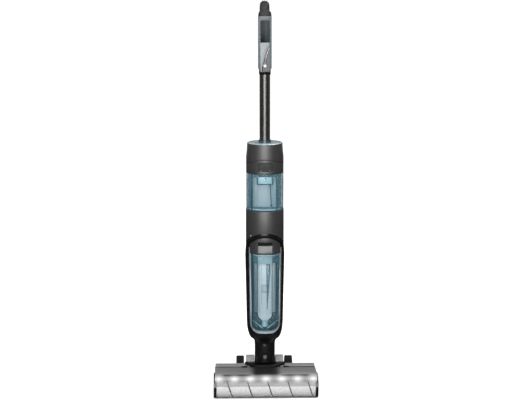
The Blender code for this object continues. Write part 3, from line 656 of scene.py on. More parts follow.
def dotted_rubber(name, tint, pitch, light=2.2):
    """Rubber moulded with fine raised dots, the top of each painted lighter as a painted highlight."""
    made, tree, shader, place = begin(name)
    dots = cells(tree, place, 1.0 / pitch, 0.12)
    raised_dot_highlight = spread(tree, dots, 0.16, 0.34, 1.0, 0.0, True)
    slow = noise(tree, place, 45.0, 4.0)
    base = blend_colours(tree, slow, shade(tint, 0.8), shade(tint, 1.25))
    # painted highlight: the top of each dot is painted lighter
    tree.links.new(blend_colours(tree, calc(tree, "MULTIPLY", raised_dot_highlight, 0.55), base, shade(tint, light)),
                   shader.inputs["Base Color"])
    tree.links.new(spread(tree, slow, 0.3, 0.7, 0.62, 0.78), shader.inputs["Roughness"])
    fine = noise(tree, place, 3000.0, 2.0)
    height = calc(tree, "ADD", raised_dot_highlight, calc(tree, "MULTIPLY", fine, 0.15))
    bumped(tree, shader, height, 0.7, 0.0003)
    return made


def pile_fabric(name, tint, shadow=0.62):
    """Short dense microfibre pile, clumped, with painted shade between clumps and tufts and a soft sheen."""
    made, tree, shader, place = begin(name)
    clumps = noise(tree, place, 260.0, 6.0, 0.7)
    tuft_gap_shade = cells(tree, place, 900.0, 1.0)
    fine = noise(tree, place, 2600.0, 3.0, 0.7)
    # painted shade: the pile is darker between clumps, and darker again between tufts
    tone = blend_colours(tree, spread(tree, clumps, 0.30, 0.70, 0.0, 1.0), shade(tint, shadow), shade(tint, 1.2))
    tree.links.new(blend_colours(tree, spread(tree, tuft_gap_shade, 0.1, 0.8, 0.0, 0.35), tone, shade(tint, 0.55)),
                   shader.inputs["Base Color"])
    shader.inputs["Roughness"].default_value = 0.95
    shader.inputs["Sheen Weight"].default_value = 0.5
    shader.inputs["Sheen Roughness"].default_value = 0.4
    height = calc(tree, "ADD", calc(tree, "MULTIPLY", clumps, 0.6), calc(tree, "MULTIPLY", fine, 0.4))
    bumped(tree, shader, height, 0.9, 0.0009)
    return made


def lit_lens(name, strength):
    """Clear lens with a lamp behind it."""
    made, tree, shader, place = begin(name)
    fine = noise(tree, place, 900.0, 2.0)
    tree.links.new(blend_colours(tree, fine, (0.86, 0.90, 0.93), (1.0, 1.0, 1.0)), shader.inputs["Base Color"])
    tree.links.new(spread(tree, fine, 0.3, 0.7, 0.05, 0.12), shader.inputs["Roughness"])
    shader.inputs["Emission Color"].default_value = (1.0, 1.0, 1.0, 1.0)
    tree.links.new(spread(tree, fine, 0.2, 0.8, strength * 0.85, strength * 1.1),
                   shader.inputs["Emission Strength"])
    return made


def screen_black(name, tint):
    """Piano black display glass: a deep gloss with faint fingermarks, and its right half painted lighter as a painted
    reflection.
    """
    made, tree, shader, place = begin(name)
    x, _, _ = axes(tree, place)
    slow = noise(tree, scaled(tree, place, (90.0, 90.0, 30.0)), 1.0, 4.0)
    # painted reflection: the right half of the glass is painted lighter
    tone = blend_colours(tree, spread(tree, x, -0.004, 0.004, 0.0, 1.0, True), tint, shade(tint, 3.4))
    tree.links.new(blend_colours(tree, spread(tree, slow, 0.45, 0.75, 0.0, 0.25), tone, shade(tint, 2.0)),
                   shader.inputs["Base Color"])
    tree.links.new(spread(tree, slow, 0.3, 0.7, 0.20, 0.30), shader.inputs["Roughness"])
    shader.inputs["Specular IOR Level"].default_value = 0.10
    return made


def lamp_places(sizes):
    """Where the headlight lenses stand across the machine."""
    span = high("light_guide").x - 0.0050
    return [-span + 2 * span * index / (sizes.lamps - 1) for index in range(sizes.lamps)]


FINISH = {}


def make_finishes():
    """Every finish, made once from the user's colours."""
    c = bpy.context.scene.scrubber_colours
    tints = {name: tuple(getattr(c, name)) for name in ScrubberColours.__annotations__}
    box = BOX["light_guide"]
    lamp_height = 0.5 * (box[0].z + box[1].z) + 0.0005
    FINISH.update({
        "black": moulded("satin_black", tints["black"], 0.48, mottle=0.15, Specular_IOR_Level=0.12),
        "frame_black": moulded("frame_black", tints["black"], 0.26, mottle=0.10, rough_swing=0.03,
                               grain=900.0, depth=0.00001, Specular_IOR_Level=0.35),
        "float_clear": clear_blue("float_clear", shade(tints["inner"], 1.2), 0.08, 0.18),
        "silver_dim": brushed("silver_dim", (0.125, 0.135, 0.142), 0.50, "X", 0.35),
        "gloss_black": moulded("gloss_black", tints["black"], 0.14, coat=0.3, mottle=0.10, rough_swing=0.03,
                               grain=900.0, depth=0.00001),
        "body": moulded("metallic_grey", tints["body"], 0.50, metallic=0.72, grain=4200.0, mottle=0.07,
                        rough_swing=0.04),
        # painted shade: a darker copy of the body grey, worn by the dirty tank's cap
        "body_low": moulded("metallic_grey_dark", shade(tints["body"], 0.85), 0.50, metallic=0.72,
                            grain=4200.0, mottle=0.07, rough_swing=0.04),
        "housing": moulded("matt_grey", tints["housing"], 0.62, mottle=0.08, depth=0.00006),
        "pad": dotted_rubber("latch_pad", shade(tints["housing"], 0.88), 0.0019, 1.25),
        "latch": dotted_rubber("latch_key", shade(tints["body"], 0.26), 0.0021, 2.2),
        "smoke": smoked("smoked_clear", tints["smoke"], lamp_places(bpy.context.scene.scrubber_sizes),
                        lamp_height, low("light_guide").y - 0.004),
        "tank": clear_blue("tank_blue", tints["tank"], 0.10, 0.70, bands=CLEAN_PAINTED_SHADE_BANDS),
        "tank_thick": clear_blue("tank_blue_thick", shade(tints["tank"], 0.08), 0.86, 0.95),
        # painted shade: a darker copy of the tank blue, worn by the dirty tank's shell
        "tank_painted_shade": clear_blue("tank_blue_deep", shade(tints["tank"], 0.55), 0.12, 0.75, bands=DIRTY_PAINTED_SHADE_BANDS),
        # painted shade: a darkened copy of the pale inner plastic
        "inner_painted_shade": moulded("dim_inner", shade(tints["inner"], 0.50), 0.30, mottle=0.10, depth=0.00002),
        "inner": moulded("pale_inner", tints["inner"], 0.30, mottle=0.10, depth=0.00002),
        # painted light: a brightened copy of the pale inner plastic, for parts that look lit
        "inner_painted_light": moulded("pale_white_inner", shade(tints["inner"], 1.55), 0.28, mottle=0.06, depth=0.00002),
        "cap_gloss": moulded("pale_gloss", tints["gloss"], 0.10, coat=0.5, mottle=0.05, grain=700.0,
                             depth=0.00001, rough_swing=0.03),
        "teal": moulded("teal_ring", shade(tints["tank"], 0.45), 0.20, coat=0.3, mottle=0.08),
        "teal_dark": moulded("teal_ring_dark", shade(tints["tank"], 0.12), 0.25, mottle=0.08),
        "silver": brushed("silver_brushed", tints["silver"], 0.50, "X", 0.35),
        "silver_warm": brushed("silver_warm", (0.115, 0.108, 0.104), 0.52, "Z", 0.35),
        "silver_bright": moulded("silver_bright", shade(tints["silver"], 2.0), 0.38, metallic=0.35, mottle=0.06),
        "rail": clear_blue("rail_blue", (0.15, 0.19, 0.21), 0.86, 0.97, 0.14),
        "tube": brushed("anodised_tube", tints["tube"], 0.30, "Z", 0.9),
        "steel": brushed("steel_brushed", tints["steel"], 0.28, "X", 1.0),
        "grip": dotted_rubber("grip_rubber", shade(tints["grip"], 0.62), 0.0024, 4.0),
        "rubber": moulded("plain_rubber", tints["tyre"], 0.72, mottle=0.25, grain=2600.0, depth=0.00012,
                          Specular_IOR_Level=0.2),
        "pile": pile_fabric("microfibre_pile", tints["pile"]),
        # painted shade: a darkened copy of the pile, for the faces down in the grooves
        "pile_groove_painted_shade": pile_fabric("microfibre_groove", shade(tints["pile"], 0.10)),
        "lens": lit_lens("lamp_lens", 3.0),
        "light_bar": lit_lens("light_bar", 0.35),
        "tank_mid": clear_blue("tank_blue_mid", shade(tints["tank"], 0.50), 0.62, 0.92),
        "tank_shade": clear_blue("tank_blue_shade", shade(tints["tank"], 0.10), 0.62, 0.90),
        "inner_cyan": moulded("pale_cyan_inner", (0.430, 0.660, 0.735), 0.28, mottle=0.08, depth=0.00002),
        "screen": screen_black("display_black", (0.0100, 0.0125, 0.0130)),
        "pack": moulded("green_wrap", tints["pack"], 0.45, mottle=0.15),
    })


def wear(name):
    """A finish by its short name."""
    return FINISH[name]


# ---- floor head ---------------------------------------------------------------------------------
class SCRUBBER_OT_head_base(bpy.types.Operator):
    """Sole tray, rear cover, bib, ears and the plain parts inside the head"""
    bl_idname = "scrubber.head_base"
    bl_label = "Head base"

    def execute(self, context):
        sizes = context.scene.scrubber_sizes
        dress(refined("head_chassis", edge=0.0004), "head_chassis", wear("black"))
        dress(refined("rear_top_cover", edge=0.0010, segments=3), "rear_top_cover", wear("housing"))
        dress(refined("hub_cover", edge=0.0), "hub_cover", wear("black"))
        for side in ("left", "right"):
            dress(refined("end_plate_" + side, edge=0.0003), "end_plate_" + side, wear("gloss_black"))
            dress(refined("pivot_ear_" + side, edge=0.0), "pivot_ear_" + side, wear("housing"))
        for node, finish in (("tilt_pin", "steel"), ("wheel_axle", "steel"), ("roller_motor", "steel"),
                             ("squeegee", "rubber"), ("spray_bar", "black"), ("suction_duct", "black"),
                             ("roller_drive_hub", "steel"), ("roller_end_cap", "black"), ("roller_core", "black")):
            dress(refined(node, edge=sizes.edge * 0.8), node, wear(finish))
        self.ear_brackets()
        return {"FINISHED"}

    def ear_brackets(self):
        """Small gusset at the inner foot of each ear, beside the neck."""
        for side, word in ((-1, "left"), (1, "right")):
            ear = BOX["pivot_ear_" + word]
            front, deck = ear[0].y, high("hub_cover").z
            inner = min(abs(ear[0].x), abs(ear[1].x))
            outline = [(side * (inner + 0.0010), deck - 0.0010), (side * (inner + 0.0110), deck - 0.0010),
                       (side * (inner + 0.0110), deck + 0.0025), (side * (inner + 0.0045), deck + 0.0085),
                       (side * (inner + 0.0010), deck + 0.0085)]
            bracket = plate("ear_bracket_" + word, "XZ", outline, front - 0.0042, front + 0.0010)
            soften(bracket, 0.0007, 3)
            dress(bracket, "pivot_ear_" + word, wear("housing"), instead=False)


class SCRUBBER_OT_wheels(bpy.types.Operator):
    """Rear wheels: a dished hub with ribs, and a tyre with grooves round it"""
    bl_idname = "scrubber.wheels"
    bl_label = "Wheels"

    def execute(self, context):
        sizes = context.scene.scrubber_sizes
        for side, word in ((-1, "left"), (1, "right")):
            self.tyre(word, sizes)
            self.hub(side, word)
        return {"FINISHED"}

    def tyre(self, word, sizes):
        """Tyre turned about its axle, with two grooves and round shoulders."""
        node = "tyre_" + word
        near, far = BOX[node]
        centre = middle(node)
        radius = (far.z - near.z) / 2
        hub = "wheel_hub_" + word
        bore = (high(hub).z - low(hub).z) / 2 + 0.0003
        half = (far.x - near.x) / 2
        depth = sizes.tread_depth
        across = [(bore, -half + 0.0008), (radius - 0.0030, -half), (radius - 0.0012, -half + 0.0006),
                  (radius - 0.0002, -half + 0.0022), (radius, -half + 0.0040)]
        for groove in (-0.0040, 0.0, 0.0040):
            across += [(radius, groove - 0.0007), (radius - depth, groove - 0.0004),
                       (radius - depth, groove + 0.0004), (radius, groove + 0.0007)]
        across += [(r, -x) for r, x in reversed(across[:5])]
        tyre = turned(node + "_tread", across, sizes.round_steps, "X", centre, closed=False)
        dress(tyre, node, wear("rubber"))

    def hub(self, side, word):
        """Hub turned as a dish with a boss, and ribs across the dish."""
        node = "wheel_hub_" + word
        near, far = BOX[node]
        centre = middle(node)
        radius = (far.z - near.z) / 2
        half = (far.x - near.x) / 2
        axle = (high("wheel_axle").z - low("wheel_axle").z) / 2 + 0.0003
        line = [(axle, -half), (radius - 0.0006, -half), (radius, -half + 0.0006), (radius, half - 0.0006),
                (radius - 0.0006, half), (radius - 0.0050, half), (radius - 0.0064, half - 0.0012),
                (radius - 0.0080, half - 0.0040), (0.0092, half - 0.0040), (0.0076, half - 0.0030),
                (0.0074, half - 0.0004), (0.0068, half), (axle, half)]
        hub = turned(node + "_dish", [(r, side * x) for r, x in line], 72, "X", centre, closed=False)
        for index in range(6):
            turn = math.tau * index / 6
            reach = Vector((0.0, math.cos(turn), math.sin(turn)))
            root = centre + Vector((side * (half - 0.0032), 0, 0))
            rib = rod("rib", root + reach * 0.0078, root + reach * (radius - 0.0070), 0.0013, 12)
            join_pieces(hub, rib)
        dress(hub, node, wear("black"))


GROOVE_START = 0.0035   # how far the middle groove lies to the left of the middle, at the roller's front


class SCRUBBER_OT_roller(bpy.types.Operator):
    """Microfibre roller with spiral grooves pressed into its pile"""
    bl_idname = "scrubber.roller"
    bl_label = "Roller"

    def execute(self, context):
        sizes = context.scene.scrubber_sizes
        centre, radius, half = ROLLER, ROLLER_RADIUS, ROLLER_HALF
        bore = (high("roller_core").z - low("roller_core").z) / 2 + 0.0003
        sleeve = self.helix("roller_pile", radius, half, sizes)
        along = Vector((0.2, 0.0, 0.0))
        cut(sleeve, rod("bore", centre - along, centre + along, bore, 96))
        dress(sleeve, "roller_sleeve", [wear("pile"), wear("pile_groove_painted_shade")], angle=60)
        reach = radius - sizes.groove_depth * 0.40

        # faces down in the grooves get the painted-shade pile
        def in_groove(place, _):
            out = math.hypot(place.y - centre.y, place.z - centre.z)
            return radius * 0.88 < out < reach and abs(place.x) < half - 0.0002
        pick(sleeve, in_groove)
        sleeve.active_material_index = 1
        bpy.ops.object.material_slot_assign()
        leave()
        return {"FINISHED"}

    def helix(self, name, radius, half, sizes):
        """Solid pile cylinder with one groove wound round it, trimmed to its length."""
        pitch, wide, depth = sizes.groove_pitch, sizes.groove_half, sizes.groove_depth
        notch = [(-wide * 1.15, 0.0), (-wide * 0.8, 0.12), (-wide * 0.5, 0.75), (-wide * 0.2, 1.0), (wide * 0.2, 1.0),
                 (wide * 0.5, 0.75), (wide * 0.8, 0.12), (wide * 1.15, 0.0)]
        turns = math.ceil(half / pitch) + 1
        points = []
        for turn in range(-turns, turns + 1):
            start = turn * pitch - GROOVE_START
            points += [(start + x, radius - depth * share) for x, share in notch]
            gap = pitch - 2.3 * wide
            points += [(start + 1.15 * wide + gap * i / 16, radius - sizes.pile * (i % 2)) for i in range(1, 16)]
        line = draw(name, [(x, ROLLER.y, ROLLER.z + r) for x, r in points], face=False)
        activate(line)
        bpy.context.scene.cursor.location = ROLLER
        bpy.ops.object.origin_set(type="ORIGIN_CURSOR")
        apply_modifier(line, "SCREW", axis="X", angle=math.tau, steps=144, render_steps=144, screw_offset=pitch,
                       use_merge_vertices=False)
        settle(line)
        bpy.context.scene.cursor.location = (0.0, 0.0, 0.0)
        edit(line)
        bpy.ops.mesh.select_all(action="SELECT")
        bpy.ops.mesh.remove_doubles(threshold=0.00002)
        for side in (-1, 1):
            bpy.ops.mesh.select_all(action="SELECT")
            bpy.ops.mesh.bisect(plane_co=(side * half, 0, 0), plane_no=(side, 0, 0), use_fill=True,
                                clear_outer=True)
        leave()
        return tidy_mesh(line)


class SCRUBBER_OT_cover(bpy.types.Operator):
    """Smoked cover over the roller with its catches, and the lamps under its front"""
    bl_idname = "scrubber.cover"
    bl_label = "Roller cover"

    def execute(self, context):
        sizes = context.scene.scrubber_sizes
        near, far = BOX["roller_cover"]
        foot = 13.5
        radius = (ROLLER.y - near.y) / math.cos(math.radians(foot))
        wall = 0.0022
        deck = high("rear_top_cover").z

        def section(reach, top):
            return [(far.y, top)] + ring_outline((ROLLER.y, ROLLER.z), reach, 88, 180 - foot, 34)
        outline = section(radius, deck) + section(radius - wall, deck - wall)[::-1]
        cover = plate("roller_cover_shell", "YZ", outline, near.x, far.x)
        bib = [(0.0318, -0.0228), (0.0573, 0.0121), (0.0573, 0.0216)]
        notch = plate("notch", "XY", bib + [(-x, y) for x, y in reversed(bib)], 0.040, 0.100)
        cut(cover, notch)
        soften(cover, 0.0006, 3, 40)
        dress(cover, "roller_cover", wear("smoke"))
        self.rear_band(far, deck)
        self.lamps(sizes)
        for side in ("left", "right"):
            dress(refined("cover_catch_" + side, edge=0.0), "cover_catch_" + side, wear("black"))
            self.catch_stop(side)
        return {"FINISHED"}

    def rear_band(self, far, deck):
        """Dark strip under the rear edge of the cover as painted shade in the gap there, and the dark bead along its
        deck.
        """
        crown = ROLLER.z + (ROLLER.y - low("roller_cover").y) / math.cos(math.radians(13.5))
        for side, word in ((-1, "left"), (1, "right")):
            start, end = sorted((side * 0.0600, side * 0.1395))
            line = []
            for y, lift in ((-0.0190, -0.0010), (-0.0190, 0.0006), (-0.0184, 0.0010), (-0.0160, 0.0010),
                            (-0.0154, 0.0006), (-0.0154, -0.0010)):
                share = (far.y - y) / (far.y - ROLLER.y)
                line.append((y, deck + share * (crown - deck) + lift))
            bead = plate("cover_deck_bead_" + word, "YZ", line, start, end)
            dress(bead, "roller_cover", wear("rubber"), instead=False)
            # painted shade: a dark strip in the gap under the cover's rear edge
            start, end = sorted((side * 0.0590, side * 0.1400))
            strip = block("cover_gasket_" + word, (start, far.y - 0.0022, deck - 0.0060),
                          (end, far.y - 0.0004, deck - 0.0025), 0.0004)
            dress(strip, "roller_cover", wear("rubber"), instead=False)

    def catch_stop(self, side):
        """Small square stop beside each catch."""
        sign = -1 if side == "left" else 1
        near, far = BOX["cover_catch_" + side]
        inner = min(abs(near.x), abs(far.x))
        stop = block("catch_stop_" + side, (sign * (inner - 0.0115), near.y + 0.0015, near.z - 0.0010),
                     (sign * (inner - 0.0075), far.y - 0.0025, near.z + 0.0012), 0.0004)
        dress(stop, "roller_cover", wear("black"), instead=False)

    def lamps(self, sizes):
        """Light bar and a domed lens at each lamp."""
        bar = refined("light_guide", edge=0.0)
        dress(bar, "light_guide", wear("light_bar"))
        place = math.radians(55)
        ahead = Vector((0.0, -math.cos(place), math.sin(place)))
        seat = Vector((0.0, ROLLER.y, ROLLER.z)) + ahead * (ROLLER_RADIUS + 0.0046)
        first = None
        for index, x in enumerate(lamp_places(sizes)):
            if first is None:
                r = sizes.lens_radius
                dome = [(r, -0.0004), (r, 0.0002), (r * 0.90, 0.0006), (r * 0.65, 0.0010), (r * 0.3, 0.0012)]
                lens = turned("lamp_lens_1", dome, 32, "Z", (0, 0, 0))
                lens.rotation_euler = (math.radians(90 - 55), 0, 0)
                lens.location = seat + Vector((x, 0, 0))
                first = settle(lens)
                first_x = x
                made = first
            else:
                made = copy_of(first, f"lamp_lens_{index + 1}", (x - first_x, 0, 0))
            tidy_mesh(made)
        for index in range(sizes.lamps):
            dress(bpy.data.objects[f"lamp_lens_{index + 1}"], "light_guide", wear("lens"), instead=False)


# ---- neck ---------------------------------------------------------------------------------------
class SCRUBBER_OT_neck(bpy.types.Operator):
    """Tilting neck with its front plug and the arched relief round it"""
    bl_idname = "scrubber.neck"
    bl_label = "Neck"

    def execute(self, context):
        dress(refined("neck_lower", edge=0.0005), "neck_lower", wear("black"))
        near, far = BOX["neck_plug"]
        centre = middle("neck_plug")
        radius = (far.x - near.x) / 2
        line = [(radius * 0.55, near.y + 0.0002), (radius * 0.72, near.y), (radius * 0.92, near.y + 0.0003),
                (radius, near.y + 0.0012), (radius, far.y)]
        plug = turned("neck_plug_head", line, 48, "Y", (centre.x, 0.0, centre.z))
        dress(plug, "neck_plug", wear("silver_warm"))
        stem = 0.5 * (high("neck_lower").x - low("neck_lower").x)
        stem_y = low("neck_lower").y + stem
        base = 0.0790
        top = high("neck_lower").z - 0.0060
        for name, half, thick, proud in (("neck_arch", 0.0150, 0.0016, 0.0007),):
            outer = [(half, base)] + ring_outline((0.0, top - half), half, 0, 180, 17) + [(-half, base)]
            inner = [(half - thick, base)] + ring_outline((0.0, top - half), half - thick, 0, 180, 17) \
                + [(-half + thick, base)]
            band = plate(name, "XZ", outer + inner[::-1], -0.060, stem_y)
            tube = turned("envelope", [(stem + proud, top + 0.02), (stem + proud, base - 0.02)], 96, "Z",
                          (0, stem_y, 0))
            keep(band, tube)
            cut(band, turned("core", [(stem - 0.0006, top + 0.03), (stem - 0.0006, base - 0.03)], 96, "Z",
                             (0, stem_y, 0)))
            dress(soften(band, 0.0002, 2), "neck_lower", wear("gloss_black"), instead=False)
        # painted shade: a dark disc stands for the hole above the plug
        hole = rod("neck_sight", (0, low("neck_lower").y - 0.0003, centre.z + 0.0150),
                   (0, low("neck_lower").y + 0.0040, centre.z + 0.0150), 0.0034, 32, 0.0003)
        dress(hole, "neck_lower", wear("rubber"), instead=False)
        for index, z in enumerate((high("neck_lower").z - 0.0022, high("neck_lower").z - 0.0048)):
            ring = turned(f"neck_ring_{index + 1}", [(stem - 0.0008, z - 0.0006), (stem + 0.0004, z - 0.0004),
                                                     (stem + 0.0005, z), (stem + 0.0004, z + 0.0004),
                                                     (stem - 0.0008, z + 0.0006)], 96, "Z", (0, stem_y, 0),
                          closed=False)
            dress(ring, "neck_lower", wear("gloss_black"), instead=False)
        return {"FINISHED"}


# ---- round body ---------------------------------------------------------------------------------
class SCRUBBER_OT_body(bpy.types.Operator):
    """Shells of the round body, and the parts they hide"""
    bl_idname = "scrubber.body"
    bl_label = "Body shells"

    def execute(self, context):
        dress(refined("tank_cradle", edge=0.0006, segments=3), "tank_cradle", wear("frame_black"))
        dress(refined("cradle_trim", edge=0.0003), "cradle_trim", wear("silver_bright"))
        for node in ("middle_housing", "top_collar", "rear_column", "battery_cover"):
            dress(refined(node, edge=0.0008, segments=3), node, wear("body"))
        for node, finish in (("battery_pack", "pack"), ("control_board", "pack"), ("water_pump", "black"),
                             ("suction_motor", "steel"), ("suction_fan", "silver_bright")):
            dress(refined(node, edge=0.0003), node, wear(finish))
        self.screw()
        self.top_cap(context.scene.scrubber_sizes)
        return {"FINISHED"}

    def screw(self):
        """Round head of the housing screw, with a cross recess."""
        centre = middle("housing_screw")
        out = Vector((centre.x, centre.y - BODY_Y, 0.0)).normalized()
        head = rod("housing_screw_head", centre - out * 0.0010, centre + out * 0.0006, 0.0022, 32)
        soften(head, 0.0004, 3)
        side = out.cross(Vector((0, 0, 1)))
        for along in (side, Vector((0, 0, 1))):
            slit = rod("slit", centre + out * 0.0008 - along * 0.0013, centre + out * 0.0008 + along * 0.0013,
                       0.0004, 8)
            cut(head, slit)
        dress(head, "housing_screw", wear("silver_bright"))

    def top_cap(self, sizes):
        """Glossy disc round the tube, its coloured rim, and the collar at the tube's foot."""
        near, far = BOX["top_cap"]
        radius = (far.x - near.x) / 2
        top = high("top_collar").z + 0.0030
        tube = (high("tube").x - low("tube").x) / 2
        disc = [(tube + 0.0034, top - 0.0004), (tube + 0.0060, top), (radius - 0.0050, top),
                (radius - 0.0022, top - 0.0003), (radius - 0.0012, top - 0.0010), (radius - 0.0014, top - 0.0024),
                (tube + 0.0034, top - 0.0024)]
        dress(turned("top_cap_disc", disc, sizes.round_steps, closed=False), "top_cap", wear("cap_gloss"))
        rim = [(radius - 0.0013, top - 0.0024), (radius - 0.0011, top - 0.0010), (radius - 0.0003, top - 0.0013),
               (radius, top - 0.0019), (radius, top - 0.0025), (radius - 0.0030, top - 0.0026),
               (radius - 0.0030, near.z + 0.0002), (radius - 0.0050, near.z + 0.0002), (radius - 0.0050, top - 0.0026)]
        dress(turned("top_cap_rim", rim, sizes.round_steps, closed=False), "top_cap", wear("teal"), instead=False)
        foot = [(tube + 0.0003, far.z), (tube + 0.0016, far.z), (tube + 0.0026, far.z - 0.0008),
                (tube + 0.0032, far.z - 0.0030), (tube + 0.0033, near.z + 0.0004), (tube + 0.0003, near.z + 0.0004)]
        dress(turned("tube_foot_ring", foot, sizes.round_steps, closed=False), "top_cap", wear("teal_dark"),
              instead=False)


# ---- tanks --------------------------------------------------------------------------------------
def front_of(radius, x):
    """How far forward a round wall about the body's axis stands at one place across."""
    return BODY_Y - math.sqrt(radius ** 2 - x ** 2)


class SCRUBBER_OT_clean_tank(bpy.types.Operator):
    """Clean water tank, its cap, latch, liner, filling valve and straw"""
    bl_idname = "scrubber.clean_tank"
    bl_label = "Clean water tank"

    def execute(self, context):
        sizes = context.scene.scrubber_sizes
        dress(refined("clean_tank_shell", edge=0.0005, segments=3), "clean_tank_shell", wear("tank"))
        dress(refined("clean_tank_cap", edge=0.0008, segments=3), "clean_tank_cap", wear("body"))
        self.liner()
        self.valve(sizes)
        self.latch()
        return {"FINISHED"}

    def liner(self):
        """Pale panel in front of the tank's rear recess, with a step along each side, and the base rim."""
        near, far = BOX["clean_tank_shell"]
        back = 0.0296
        base = near.z + 0.0040
        half = 0.0335
        edge = [(0.0207, back - 0.0026), (0.0215, back - 0.0014), (half - 0.0020, back - 0.0014),
                (half - 0.0016, back - 0.0036), (half, back - 0.0036), (half, back)]
        line = [(-x, y) for x, y in reversed(edge)] + edge
        panel = plate("clean_tank_liner", "XY", line, base, far.z - 0.0008)
        soften(panel, 0.0003, 2)
        dress(panel, "clean_tank_shell", wear("inner"), instead=False)
        for side, word in ((-1, "left"), (1, "right")):
            inner, outer = (0.0344, 0.0402) if side < 0 else (0.0325, 0.0368)
            start, end = sorted((side * inner, side * outer))
            rib = block("clean_tank_rib_" + word, (start, 0.0165, base), (end, 0.0286, far.z - 0.0008), 0.0010, 3)
            dress(rib, "clean_tank_shell", wear("tank_thick"), instead=False)
        radius = (far.x - near.x) / 2
        # the base rim wears the painted-light copy of the inner plastic
        ring = turned("clean_tank_base_rim", [(radius - 0.0024, base + 0.0022), (radius - 0.0024, base - 0.0002),
                                              (radius - 0.0060, base - 0.0002), (radius - 0.0060, base + 0.0010)],
                      96, closed=False)
        keep(ring, block("front", (-0.1, -0.1, base - 0.01), (0.1, 0.0270, base + 0.01)))
        dress(ring, "clean_tank_shell", wear("inner_painted_light"), instead=False)

    def valve(self, sizes):
        """Boxed valve under the cap with a T rib on its front, and the straw below it."""
        node = "clean_tank_straw"
        near, far = BOX[node]
        front = near.y
        base, top = 0.5860, far.z
        box = block("clean_tank_valve", (near.x, front, base), (far.x, far.y, top), 0.0022, 4)
        hood = block("clean_valve_hood", (-0.0310, front - 0.0015, top - 0.0086),
                     (0.0310, front + 0.0060, top - 0.0052), 0.0008, 3)
        dress(hood, node, wear("tank_shade"), instead=False)
        face = block("clean_valve_face", (near.x + 0.0042, front + 0.0004, base + 0.0042),
                     (far.x - 0.0042, front + 0.0014, top - 0.0092), 0.0004)
        dress(face, node, wear("inner_cyan"), instead=False)
        bar = block("clean_valve_rail", (near.x - 0.0030, front - 0.0040, top - 0.0042),
                    (far.x + 0.0030, front - 0.0004, top - 0.0014), 0.0006)
        dress(bar, node, wear("teal_dark"), instead=False)
        window = block("window", (near.x + 0.0040, front - 0.004, base + 0.0040),
                       (far.x - 0.0040, front + 0.0012, top - 0.0090), 0.0)
        cut(box, window)
        dress(soften(box, 0.0003, 2), node, wear("teal_dark"))
        bar = block("clean_valve_bar", (-0.0026, front + 0.0002, top - 0.0126),
                    (0.0066, front + 0.0016, top - 0.0114), 0.0002)
        stalk = block("stalk", (0.0012, front + 0.0002, top - 0.0200),
                      (0.0026, front + 0.0016, top - 0.0118), 0.0002)
        dress(join_pieces(bar, stalk), node, wear("tank_thick"), instead=False)
        foot = near.z
        pipe = rod("clean_straw_pipe", (0.0146, -0.0030, base + 0.0010), (0.0176, -0.0030, foot + 0.0060),
                   sizes.straw_radius, 24)
        dress(pipe, node, wear("tank_thick"), instead=False)
        strainer = turned("clean_straw_strainer", [(0.0020, foot + 0.0068), (0.0026, foot + 0.0060),
                                                   (0.0028, foot + 0.0006), (0.0024, foot)], 32, "Z",
                          (0.0177, -0.0030, 0))
        dress(strainer, node, wear("tank_thick"), instead=False)

    def latch(self):
        """Recessed key with a textured face, a frame lip, and two light bars at its foot."""
        node = "clean_tank_latch"
        near, far = BOX[node]
        key = refined(node, edge=0.0006, segments=3)
        dress(key, node, wear("latch"))
        radius = BODY_Y - near.y
        ring = turned("clean_latch_frame", [(radius - 0.0014, near.z - 0.0014), (radius + 0.0003, near.z - 0.0014),
                                            (radius + 0.0003, far.z + 0.0014), (radius - 0.0014, far.z + 0.0014)],
                      96, closed=False)
        keep(ring, block("front", (near.x - 0.0014, -0.1, near.z - 0.01), (far.x + 0.0014, 0.0, far.z + 0.01)))
        cut(ring, block("bay", (near.x - 0.0004, -0.1, near.z - 0.0004), (far.x + 0.0004, 0.0, far.z + 0.0004)))
        dress(ring, "clean_tank_cap", wear("frame_black"), instead=False)
        for side, word in ((-1, "left"), (1, "right")):
            x = side * 0.0115
            y = front_of(radius, x)
            bar = block("clean_latch_bar_" + word, (x - 0.0040, y - 0.0002, near.z + 0.0013),
                        (x + 0.0040, y + 0.0012, near.z + 0.0020), 0.0002)
            dress(bar, node, wear("inner"), instead=False)


RISER_TOP = 0.3600   # where the duct in the dirty tank opens into its chamber


